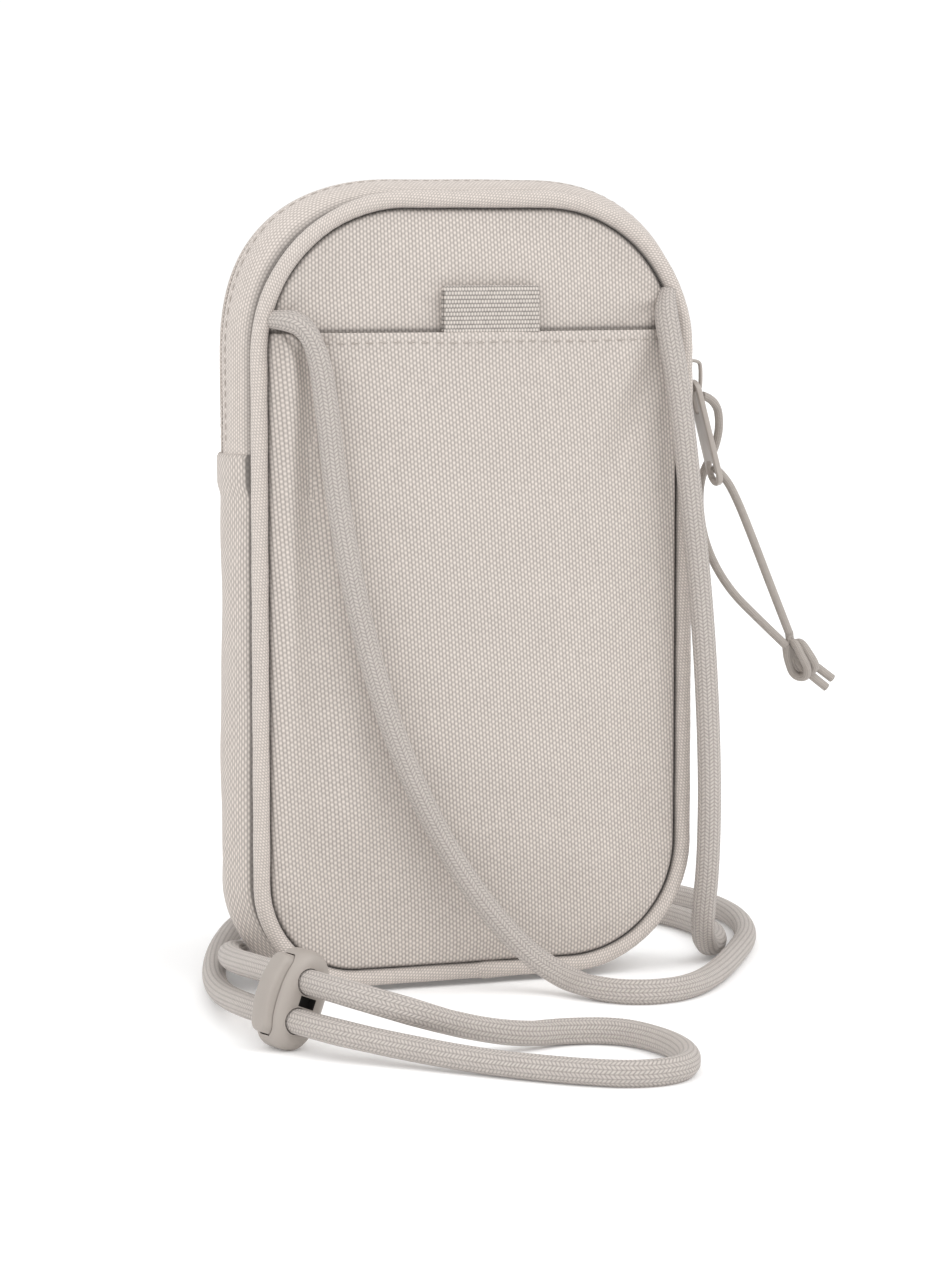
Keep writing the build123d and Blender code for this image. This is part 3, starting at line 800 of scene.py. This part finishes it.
low = strip("lower_gusset_fabric", M_gus, LOW, LOWS, list(np.linspace(-11.6, 11.6, 41)), low_off,
            lambda y, s, i: bulge(y) - 1.0, clamp=True)
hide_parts("lower_gusset"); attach(low, "pouch")
lin_g = strip("lower_gusset_lining_cloth", M_lin_uv, LOW[2:-2:2], LOWS[2:-2:2], list(np.linspace(-9.5, 9.5, 15)),
              lambda y, s, i: bulge(y) - 1.15, lambda y, s, i: bulge(y) - 1.5)
for vv_ in lin_g.data.vertices:
    vv_.co.z = max(vv_.co.z, 0.00115)
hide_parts("lower_gusset_lining"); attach(lin_g, "pouch")

UPP, UPS = path_part(133.6, True)
Z_OPEN = 154.0
u_lo = UPS[0]


def fold_y(s, sgn):
    """depth of the folded edge: the strips nearly meet, and spread round the slider"""
    z = float(np.interp(s, UPS, UPP[:, 1]))
    x = float(np.interp(s, UPS, UPP[:, 0]))
    k = (1 - float(sstep(z, 158.0, 176.0))) if x > 0 else 0.0
    y0 = -0.1 if sgn < 0 else 1.9
    return y0 + (3.3 * sgn - y0) * k


def fold_profile(i, sgn):
    f = fold_y(UPS[i], sgn)
    t = [0.0, 0.08, 0.25, 0.5, 0.8, 1.1, 1.5, 1.8, 2.0, 2.2, 2.5, 3.0]
    ys = [f + sgn * q for q in t]
    e = 11.6 * sgn
    ys += [ys[-1] + (e - ys[-1]) * q for q in np.linspace(0.12, 1.0, 9)]
    return ys[::-1]


def up_off(y, s, i, sgn):
    a = abs(y - fold_y(s, sgn))
    r = 0.0
    if a < 0.8:
        r = -0.45 * (1 - math.sqrt(max(0.0, 1 - ((0.8 - a) / 0.8) ** 2)))
    groove = -0.26 * math.exp(-((a - 2.0) / 0.5) ** 2)
    return bulge(y) + r + groove + 0.5 * gus_wave(y, s)


def up_in(y, s, i, sgn):
    a = abs(y - fold_y(s, sgn))
    r = 0.44 * (1 - math.sqrt(max(0.0, 1 - ((0.8 - a) / 0.8) ** 2))) if a < 0.8 else 0.0
    return bulge(y) - 0.9 + r


for sg, nm in ((-1, "rear"), (1, "front")):
    o = strip("zip_gusset_" + nm + "_fabric", M_gus_up, UPP, UPS, lambda i, sg=sg: fold_profile(i, sg),
              lambda y, s, i, sg=sg: up_off(y, s, i, sg), lambda y, s, i, sg=sg: up_in(y, s, i, sg))
    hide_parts("zip_gusset_" + nm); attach(o, "pouch")


def open_gap(i):
    x, z = UPP[i][0], UPP[i][1]
    return 1.05 * (1 - float(sstep(z, 149.0, 156.0))) if x > 0 else 0.0


for sg, nm in ((-1, "rear"), (1, "front")):
    o = strip("zip_tape_" + nm + "_woven", M_tape, UPP[2:-2], UPS[2:-2],
              lambda i, sg=sg: [sg * y for y in np.linspace(9.2, 0.15 + open_gap(i + 2), 12)],
              lambda y, s, i: bulge(y) - 1.40, lambda y, s, i: bulge(y) - 1.85)
    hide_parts("zip_tape_" + nm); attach(o, "pouch")


# coil: one small loop of nylon at a time
def path_at(s, A, S):
    return [float(np.interp(s, S, A[:, k])) for k in range(4)]


def tooth_row(sg):
    V, F = [], []
    s = UPS[0] + 3.0 + (0.33 if sg > 0 else 0.0) * 1.28
    prof = [(2.75, -1.15), (2.5, -1.0), (1.9, -0.96), (1.0, -0.94), (0.2, -0.96), (-0.38, -1.02), (-0.52, -1.2), (-0.2, -1.36), (0.8, -1.42)]
    while s < UPS[-1] - 3.0:
        x, z, nx, nz = path_at(s, UPP, UPS)
        tx, tz = -nz, nx
        gap = 1.05 * (1 - float(sstep(z, 149.0, 156.0))) if x > 0 else 0.0
        base = len(V)
        ring = 6
        for k, (y, o) in enumerate(prof):
            rad = 0.30 if 0 < k < len(prof) - 1 else 0.2
            y0, o0 = prof[max(0, k - 1)]
            y1, o1 = prof[min(len(prof) - 1, k + 1)]
            L = math.hypot(y1 - y0, o1 - o0)
            ty, to = (y1 - y0) / L, (o1 - o0) / L
            for j in range(ring):
                a = 2 * math.pi * j / ring
                c1, c2 = rad * math.cos(a), rad * math.sin(a) * 0.95
                yy = y - to * c1
                oo = o + ty * c1
                off = bulge(0.0) + oo + fuller(x, z, nx, nz, 0.0)
                V.append((x + nx * off + tx * c2, sg * (yy + gap), z + nz * off + tz * c2))
        for k in range(len(prof) - 1):
            for j in range(ring):
                j2 = (j + 1) % ring
                F.append((base + k * ring + j, base + k * ring + j2, base + (k + 1) * ring + j2, base + (k + 1) * ring + j))
        F.append(tuple(base + j for j in range(ring))[::-1])
        F.append(tuple(base + (len(prof) - 1) * ring + j for j in range(ring)))
        s += 1.28
    return V, F


for sg, nm in ((-1, "rear"), (1, "front")):
    V, F = tooth_row(sg)
    o = new_object("zip_coil_" + nm + "_teeth", V, F, M_coil)
    fix_normals(o)
    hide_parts("zip_coil_" + nm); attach(o, "pouch")

# ============================ pipings ====================================
PJ = 1.5                                    # the two ends overlap near the middle of the bottom


def pipe_mesh(name, mat, y0, rfun, r_in, seg, step=1):
    A, S = OUT[::step], OS[::step]
    n = len(A)
    V, F, UV = [], [], []

    def ringset(fun, base, flip):
        for i in range(n):
            x, z, nx, nz = A[i]
            for j in range(seg):
                t = 2 * math.pi * j / seg
                r = fun(S[i], t, i)
                V.append((x + nx * r * math.cos(t), y0 + r * math.sin(t), z + nz * r * math.cos(t)))
        for i in range(n):
            i2 = (i + 1) % n
            s1, s2 = S[i], (S[i2] if i2 else OLEN)
            for j in range(seg):
                j2 = (j + 1) % seg
                q = (base + i * seg + j, base + i * seg + j2, base + i2 * seg + j2, base + i2 * seg + j)
                a, b = 13.2 * j / seg, 13.2 * (j + 1) / seg
                u4 = [(a, s1), (b, s1), (b, s2), (a, s2)]
                F.append(q[::-1] if flip else q); UV.append(u4[::-1] if flip else u4)

    ringset(rfun, 0, True)
    if r_in:
        ringset(lambda s, t, i: r_in, n * seg, False)
    o = new_object(name, V, F, mat, UV)
    if r_in:
        # painted shade: the piping is darkened on the two sides where it meets the gusset and the panel
        g = math.pi / 2 if y0 < 0 else 1.5 * math.pi
        ring = []
        for j in range(seg):
            t = 2 * math.pi * j / seg
            ring.append(min(1.0, math.exp(-((t - math.pi) / 0.42) ** 2) + math.exp(-((t - g) / 0.42) ** 2)))
        at = o.data.attributes.new("seam_shade", "FLOAT", "POINT")
        at.data.foreach_set("value", ring * (2 * n))
    return o


def pipe_r(s, t, i):
    sj = s if s < OLEN / 2 else s - OLEN
    r = 2.1 + 0.02 * math.sin(s * 1.9) + 0.03 * math.sin(s * 0.37 + 1.0)
    d = sj - PJ - 0.8 * math.sin(t)
    if 0 <= d < 9.0:
        r += 0.24 * (1 - d / 9.0)
    return r


for sg, nm in ((-1, "rear"), (1, "front")):
    o = pipe_mesh(nm + "_piping_bias", M_pipe, sg * PIPE_Y, pipe_r, 1.25, 22)
    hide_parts(nm + "_piping"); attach(o, "pouch")
    o = pipe_mesh(nm + "_piping_filler", M_core, sg * PIPE_Y, lambda s, t, i: 1.15 + 0.05 * math.cos(3 * t + s * 0.9), 0, 12, 2)
    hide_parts(nm + "_piping_core"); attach(o, "pouch")


# ============================ stitches ===================================
def stitches(name, pairs, rad=0.24):
    """one closed capsule per stitch; pairs are (start, end, outward normal)"""
    V, F = [], []
    for a, b, nrm in pairs:
        a, b, nrm = np.array(a, float), np.array(b, float), np.array(nrm, float)
        t = b - a
        L = np.linalg.norm(t); t /= L
        nrm = nrm - t * nrm.dot(t); nrm /= np.linalg.norm(nrm)
        sd = np.cross(t, nrm)
        base = len(V)
        prof = [(0.0, 0.25, -0.28), (0.08, 0.8, -0.08), (0.3, 1.0, 0.06), (0.7, 1.0, 0.06), (0.92, 0.8, -0.08), (1.0, 0.25, -0.28)]
        for u, k, up in prof:
            c = a + t * L * u + nrm * up
            for j in range(7):
                w = 2 * math.pi * j / 7
                V.append(tuple(c + rad * k * (math.cos(w) * nrm + math.sin(w) * sd)))
        for k in range(len(prof) - 1):
            for j in range(7):
                j2 = (j + 1) % 7
                F.append((base + k * 7 + j, base + k * 7 + j2, base + (k + 1) * 7 + j2, base + (k + 1) * 7 + j))
        F.append(tuple(base + j for j in range(7))[::-1])
        F.append(tuple(base + 35 + j for j in range(7)))
    o = new_object(name, V, F, M_thread)
    fix_normals(o)
    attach(o, "pouch")
    return o


def surf_y(x, z, inner_mid, inner_edge, relief):
    X, Z = np.array([[x]], float), np.array([[z]], float)
    D = edge_dist(X, Z, 2.1)
    y = 11.0 + 5.8 * crown(X, Z) + inner_edge + (inner_mid - inner_edge) * sstep(D, 0, 7.0) + relief(X, Z) * sstep(D, 0, 7.0)
    return -float(y[0, 0])


prs = []
x = -51.5
while x < 51.0:
    z = PT - 2.5 + 0.12 * math.sin(x * 0.2)
    a = (x, surf_y(x, z, 2.0, 1.05, pocket_relief) - 0.05, z)
    b = (x + 2.5, surf_y(x + 2.5, z, 2.0, 1.05, pocket_relief) - 0.05, z)
    prs.append((a, b, (0, -1, 0)))
    x += 3.5
stitches("pocket_hem_stitches", prs, 0.15)
for sg, nm in ((-1, "rear"), (1, "front")):
    prs = []
    s = UPS[0] + 4.0
    while s < UPS[-1] - 4.0:
        q = []
        for ss in (s, s + 1.9):
            x, z, nx, nz = path_at(ss, UPP, UPS)
            yy = fold_y(ss, sg) + sg * 2.0
            off = up_off(yy, ss, 0, sg) + 0.08 + fuller(x, z, nx, nz, yy)
            q.append((x + nx * off, yy, z + nz * off))
        prs.append((q[0], q[1], (nx, sg * 0.35, nz)))
        s += 2.7
    stitches("zip_topstitch_" + nm, prs, 0.17)
    prs = []
    for s_end, dr in ((s_lo, 1), (s_hi, -1)):
        s0 = s_end + dr * 2.6
        x, z, nx, nz = path_at(s0, LOW, LOWS)
        for k in range(4):
            ya, yb = sg * (0.8 + 2.5 * k), sg * (0.8 + 2.5 * k + 1.8)
            oa, ob = low_off(ya, s0, 0) + 0.05, low_off(yb, s0, 0) + 0.05
            prs.append(((x + nx * oa, ya, z), (x + nx * ob, yb, z), (nx, sg * 0.4, 0)))
    stitches("gusset_end_stitches_" + nm, prs, 0.15)

# ============================ webbing loop ===============================
TAB_X, TAB_W = 2.1, 25.0
ty = -(11.0 + 5.8 * float(crown(np.array(TAB_X), np.array(165.0)))) - 0.05
yb_, yf_ = ty - 0.05, ty - 2.75
zt_ = 175.0
prof = []
for z in np.arange(164.95, zt_, 0.21):
    prof.append((yf_, z, -1.0, 0.0))
for a in np.linspace(0, math.pi, 16):
    c, sn = math.cos(a), math.sin(a)
    prof.append(((yf_ + yb_) / 2 - 1.35 * c, zt_ + 1.35 * sn, -c, sn))
for z in np.arange(zt_ - 0.21, 164.95, -0.21):
    prof.append((yb_, z, 1.0, 0.0))
cols = 130
A, B = [], []
arc_s = 0.0
for k, (y, z, ny, nz) in enumerate(prof):
    if k:
        arc_s += math.hypot(y - prof[k - 1][0], z - prof[k - 1][1])
    ra, rb = [], []
    for j in range(cols):
        x = TAB_X - TAB_W / 2 + TAB_W * j / (cols - 1)
        row = math.floor(arc_s / 1.03)
        h = 0.20 * abs(math.sin(math.pi * arc_s / 1.03)) ** 0.6 * (0.72 + 0.28 * math.sin(2 * math.pi * (x / 0.78 + 0.5 * (row % 2))))
        e = min(j, cols - 1 - j)
        h -= 0.22 * math.exp(-(e / 1.5) ** 2)
        bow = 0.22 * math.cos((x - TAB_X) / 25.0 * math.pi) if ny < 0 else 0.0
        ra.append((x, y + ny * h - bow, z + nz * h))
        rb.append((x, y - ny * 0.9 - bow, z - nz * 0.9))
    A.append(ra); B.append(rb)
tab = shell("webbing_tab_loop", A, B, M_web)
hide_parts("webbing_tab"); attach(tab, "pouch")


# ======================= slider, pull, stops =============================
def box_piece(name, size, mat, bevel=0.3, seg=3, taper=None, M=None):
    bm = bmesh.new()
    bmesh.ops.create_cube(bm, size=1.0)
    for vtx in bm.verts:
        vtx.co = Vector((vtx.co.x * size[0], vtx.co.y * size[1], vtx.co.z * size[2]))
        if taper:
            vtx.co = taper(vtx.co)
    bmesh.ops.bevel(bm, geom=list(bm.edges) + list(bm.verts), offset=bevel, segments=seg, profile=0.5, affect="EDGES")
    for vtx in bm.verts:
        vtx.co = vtx.co * MM
    if M is not None:
        bm.transform(M)
    me = bpy.data.meshes.new(name)
    bm.to_mesh(me); bm.free()
    me.polygons.foreach_set("use_smooth", [True] * len(me.polygons))
    o = bpy.data.objects.new(name, me)
    scene.collection.objects.link(o)
    if mat:
        me.materials.append(mat)
    return o


def join(first, others):
    bm = bmesh.new()
    bm.from_mesh(first.data)
    for o in others:
        t = o.data.copy()
        bm.from_mesh(t)
        bpy.data.meshes.remove(t)
        bpy.data.objects.remove(o)
    bm.to_mesh(first.data)
    bm.free()
    first.data.polygons.foreach_set("use_smooth", [True] * len(first.data.polygons))
    return first


def boolean(o, cutters, op="DIFFERENCE"):
    for c in cutters:
        md = o.modifiers.new("b", "BOOLEAN")
        md.operation, md.solver, md.object = op, "EXACT", c
    bpy.context.view_layer.update()
    me = bpy.data.meshes.new_from_object(o.evaluated_get(bpy.context.evaluated_depsgraph_get()))
    o.modifiers.clear()
    old = o.data
    o.data = me
    bpy.data.meshes.remove(old)
    for c in cutters:
        bpy.data.objects.remove(c)
    return o


def sharp_by_angle(o, deg=35):
    me = o.data
    me.polygons.foreach_set("use_smooth", [True] * len(me.polygons))
    bm = bmesh.new(); bm.from_mesh(me)
    for e in bm.edges:
        if len(e.link_faces) == 2:
            e.smooth = e.calc_face_angle(0) < math.radians(deg)
    bm.to_mesh(me); bm.free()


def shift(x, y, z):
    return Matrix.Translation(Vector((x, y, z)) * MM)


SX = HW + BULGE


def shield(co):
    k = 1.0 if co.z < 0 else 0.74
    return Vector((co.x, co.y * k, co.z))


sl = box_piece("slider_body", (1.3, 7.0, 9.5), M_metal, 0.5, 4, shield, shift(SX + 1.2, 0, 153.0))
sl2 = box_piece("s2", (1.0, 6.4, 8.8), None, 0.3, 3, shield, shift(SX - 2.95, 0, 153.0))
sl3 = box_piece("s3", (4.4, 1.6, 2.4), None, 0.3, 2, None, shift(SX - 0.9, 0, 155.6))
fl = [box_piece("s4", (1.1, 0.55, 7.4), None, 0.2, 2, None, shift(SX + 0.6, sy * 2.72, 152.6)) for sy in (-1, 1)]
# bail: a bent strap over the top plate
bp = [(62.5, 156.4), (63.6, 156.5), (65.6, 156.2), (66.2, 155.2), (66.25, 150.6), (66.0, 149.0), (65.2, 148.55), (63.4, 148.5), (62.5, 148.6)]
P, S = nurbs_line("bail_line", [(a, 0, b) for a, b in bp], 0.3)


def bail_shape(i, s, phi, k, t):
    c, sn = abs(math.cos(t)), abs(math.sin(t))
    return 1.0 / ((c / 0.45) ** 3 + (sn / 0.72) ** 3) ** (1 / 3.0)


def bail_tube(P, S):
    V, F = [], []
    seg = 16
    T = np.gradient(P, axis=0); T /= np.linalg.norm(T, axis=1)[:, None]
    for i in range(len(P)):
        n = np.cross(T[i], (0, 1, 0)); n /= np.linalg.norm(n)
        for j in range(seg):
            t = 2 * math.pi * j / seg
            r = bail_shape(0, 0, 0, 0, t)
            V.append(P[i] + r * (math.cos(t) * n + math.sin(t) * np.array([0, 1.0, 0])))
    for i in range(len(P) - 1):
        for j in range(seg):
            j2 = (j + 1) % seg
            F.append((i * seg + j, i * seg + j2, (i + 1) * seg + j2, (i + 1) * seg + j))
    F.append(tuple(range(seg))[::-1])
    F.append(tuple((len(P) - 1) * seg + j for j in range(seg)))
    o = new_object("bail", V, F)
    fix_normals(o)
    return o


slider = join(sl, [sl2, sl3, bail_tube(P, S)] + fl)
slider.name = "zip_slider_painted"
sharp_by_angle(slider, 50)
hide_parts("zip_slider"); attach(slider, "slider")

TILT = math.radians(14.8)
cu = bpy.data.curves.new("pull", "CURVE")
cu.dimensions = "2D"
cu.fill_mode = "BOTH"


def rounded(w, h, r, cy, wtop=None, n=8):
    wt = w if wtop is None else wtop
    pts = []
    for sx, sy, ww in ((1, 1, wt), (-1, 1, wt), (-1, -1, w), (1, -1, w)):
        a0 = {(1, 1): 0, (-1, 1): 90, (-1, -1): 180, (1, -1): 270}[(sx, sy)]
        rr = min(r, ww / 2 - 0.01)
        for k in range(n + 1):
            a = math.radians(a0 + 90.0 * k / n)
            pts.append((sx * (ww / 2 - rr) + rr * math.cos(a), cy + sy * (h / 2 - rr) + rr * math.sin(a)))
    return pts


for pts in (rounded(6.4, 27.8, 3.0, -13.2, 6.0), rounded(3.3, 7.8, 1.4, -4.3), rounded(4.8, 5.6, 1.8, -23.2)):
    sp = cu.splines.new("POLY")
    sp.points.add(len(pts) - 1)
    for p, q in zip(sp.points, pts):
        p.co = (q[0] * MM, q[1] * MM, 0, 1)
    sp.use_cyclic_u = True
cu.extrude = 0.45 * MM
cu.bevel_depth = 0.3 * MM
cu.bevel_resolution = 3
tmp = bpy.data.objects.new("pull", cu)
scene.collection.objects.link(tmp)
bpy.context.view_layer.update()
me = bpy.data.meshes.new_from_object(tmp.evaluated_get(bpy.context.evaluated_depsgraph_get()))
bpy.data.objects.remove(tmp)
zd = Vector((math.cos(TILT), 0, math.sin(TILT)))
xd = Vector((0, 1, 0))
yd = zd.cross(xd)
R = Matrix((xd, yd, zd)).transposed().to_4x4()
me.transform(Matrix.Translation(Vector((SX + 3.2, 0, 150.5)) * MM) @ R)
bm = bmesh.new(); bm.from_mesh(me)
bmesh.ops.remove_doubles(bm, verts=bm.verts, dist=1e-6)
bmesh.ops.recalc_face_normals(bm, faces=bm.faces)
bm.to_mesh(me); bm.free()
me.materials.clear(); me.materials.append(M_metal)
pull = bpy.data.objects.new("zip_pull_tab", me)
scene.collection.objects.link(pull)
sharp_by_angle(pull, 40)
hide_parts("zip_pull"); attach(pull, "pull")

st = [box_piece("stop", (1.0, 4.0, 0.8), M_metal, 0.18, 2, None, shift(sx * (SX - 0.35), 0, 135.45)) for sx in (-1, 1)]
stops = join(st[0], [st[1]])
stops.name = "zip_stops_crimped"
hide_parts("zip_stops"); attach(stops, "pouch")

# ============================ cord lock ==================================
LC = Vector((-66.8, -69.0, 11.8))
LU = Vector((0.28, -0.96, 0.0)).normalized()
LN = Vector((-0.8901, -0.2596, 0.3746)).normalized()
LV = LU.cross(LN).normalized()
LM = Matrix.Translation(LC * MM) @ Matrix((LN, LV, LU)).transposed().to_4x4()   # x to the button, z along the cords


def prism(name, outline_pts, z0, z1, rim, n=6, mat=None):
    """closed body from a convex outline with rounded rims"""
    V, F = [], []
    cx = sum(p[0] for p in outline_pts) / len(outline_pts)
    N = []
    m = len(outline_pts)
    for i in range(m):
        a, b = outline_pts[i - 1], outline_pts[(i + 1) % m]
        t = (b[0] - a[0], b[1] - a[1])
        L = math.hypot(*t)
        N.append((t[1] / L, -t[0] / L))
    levels = []
    for k in range(n + 1):
        a = math.pi / 2 * k / n
        levels.append((z0 + rim * (1 - math.sin(a)), rim * (1 - math.cos(a))))
    levels = levels[::-1]
    levels = [(z0 + rim * (1 - math.cos(math.pi / 2 * k / n)), rim * (1 - math.sin(math.pi / 2 * k / n))) for k in range(n + 1)]
    levels += [(z1 - rim * (1 - math.cos(math.pi / 2 * k / n)), rim * (1 - math.sin(math.pi / 2 * k / n))) for k in range(n, -1, -1)]
    for z, ins in levels:
        for i, p in enumerate(outline_pts):
            V.append((p[0] - N[i][0] * ins, p[1] - N[i][1] * ins, z))
    for k in range(len(levels) - 1):
        for i in range(m):
            i2 = (i + 1) % m
            F.append((k * m + i, k * m + i2, (k + 1) * m + i2, (k + 1) * m + i))
    F.append(tuple(range(m))[::-1])
    F.append(tuple((len(levels) - 1) * m + i for i in range(m)))
    o = new_object(name, V, F, mat)
    fix_normals(o)
    return o


def cyl(r, h, x, y, seg=48):
    bm = bmesh.new()
    bmesh.ops.create_cone(bm, cap_ends=True, segments=seg, radius1=r * MM, radius2=r * MM, depth=h * MM)
    bmesh.ops.translate(bm, verts=bm.verts, vec=Vector((x, y, 0)) * MM)
    me = bpy.data.meshes.new("c"); bm.to_mesh(me); bm.free()
    o = bpy.data.objects.new("c", me)
    scene.collection.objects.link(o)
    return o


def cutbox(sx, sy, sz, x, y, z=0):
    bm = bmesh.new()
    bmesh.ops.create_cube(bm, size=1.0)
    for vtx in bm.verts:
        vtx.co = Vector((vtx.co.x * sx + x, vtx.co.y * sy + y, vtx.co.z * sz + z)) * MM
    me = bpy.data.meshes.new("k"); bm.to_mesh(me); bm.free()
    o = bpy.data.objects.new("k", me)
    scene.collection.objects.link(o)
    return o


def seam_x(v):
    """the parting line between body and button, bowed towards the button"""
    return 5.6 - 2.3 * (v / 9.6) ** 2


def slab(name, hv, hu, x_in, x_out, mat=None, nv=41, nu=13, crown_u=0.0, rnd=0.0):
    """closed curved plate: |v| up to hv, |u| up to hu, between two bowed faces"""
    A, B = [], []
    for i in range(nv):
        v = -hv + 2 * hv * i / (nv - 1)
        ra, rb = [], []
        for j in range(nu):
            b = -hu + 2 * hu * j / (nu - 1)
            k = max(0.0, abs(v) - (hv - hu * 0.75)) / (hu * 0.75)
            w = b * math.sqrt(max(0.05, 1 - 0.75 * k * k))
            top = x_out(v) - crown_u * (b / hu) ** 2
            if rnd:
                e = min(1.0, math.hypot(max(abs(v) - (hv - rnd), 0) / rnd, max(abs(b) - (hu - rnd), 0) / rnd))
                top -= rnd * (1 - math.sqrt(max(0.0, 1 - e * e)))
            ra.append((top, v, w)); rb.append((x_in(v), v, w))
        A.append(ra); B.append(rb)
    return shell(name, A, B, mat)


# outline in the lock's own plane: a long oval whose button side is cut by the bowed parting line
ol = []
for k in range(120):
    a = 2 * math.pi * k / 120
    c, sn = math.cos(a), math.sin(a)
    ex = 2.35
    rr = (abs(c) ** ex + abs(sn) ** ex) ** (-1.0 / ex)
    ol.append((-0.7 + 6.75 * rr * c, 12.0 * rr * sn))
lock = prism("lock_body_moulded", ol, -5.5, 5.5, 3.3, 8, M_lock)
cut = [cyl(3.22, 40, 0, k * 4.75) for k in (-1, 1)]
cut += [cutbox(11.0, 17.0, 4.4, -0.5, 0), slab("k", 9.9, 3.35, lambda v: seam_x(v) - 1.75, lambda v: 20.0),
        cutbox(4.4, 2.5, 4.6, -1.2, 0, 5.2)]
boolean(lock, cut)
lock.data.materials.clear(); lock.data.materials.append(M_lock); lock.data.materials.append(M_recess_shade)
# painted shade: the walls and floor of the window recess take the near-black material
for pl in lock.data.polygons:
    c = pl.center / MM
    if abs(c.y) < 1.27 and -3.45 < c.x < 1.05 and 2.6 < c.z < 5.1:
        pl.material_index = 1
lock.data.transform(LM)
sharp_by_angle(lock, 42)
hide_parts("lock_body"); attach(lock, "lock")

# button: bowed plate, and the slotted plunger behind it
button = slab("lock_button_bowed", 9.6, 3.1, lambda v: seam_x(v) - 0.25, lambda v: seam_x(v) + 2.7 + 0.35 * (abs(v) / 9.6) ** 4, None, 61, 19, 0.25, 0.8)
stem = box_piece("stem", (9.6, 16.4, 3.8), None, 0.25, 2, None, shift(0.2, 0, 0))
boolean(stem, [cutbox(8.1, 6.8, 10, 0.7, k * 4.75) for k in (-1, 1)] + [cutbox(7.4, 2.7, 2.6, -1.2, 0)])
join(button, [stem])
button.data.materials.clear(); button.data.materials.append(M_lock)
button.data.transform(LM)
sharp_by_angle(button, 50)
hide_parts("lock_button"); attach(button, "lock_head")

P = np.array([(-5.9 + 6.7 * t, 0.92 * math.cos(2 * math.pi * 6 * t), 0.92 * math.sin(2 * math.pi * 6 * t)) for t in np.linspace(0, 1, 145)])
S = np.r_[0, np.cumsum(np.linalg.norm(np.diff(P, axis=0), axis=1))]
v, f, uv = tube_arrays(P, S, lambda i, s, phi, k, t: 0.2, 8, 4)
spring = new_object("lock_spring_wire", v, f, M_spring, uv)
fix_normals(spring)
spring.data.transform(LM)
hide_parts("lock_spring"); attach(spring, "lock")
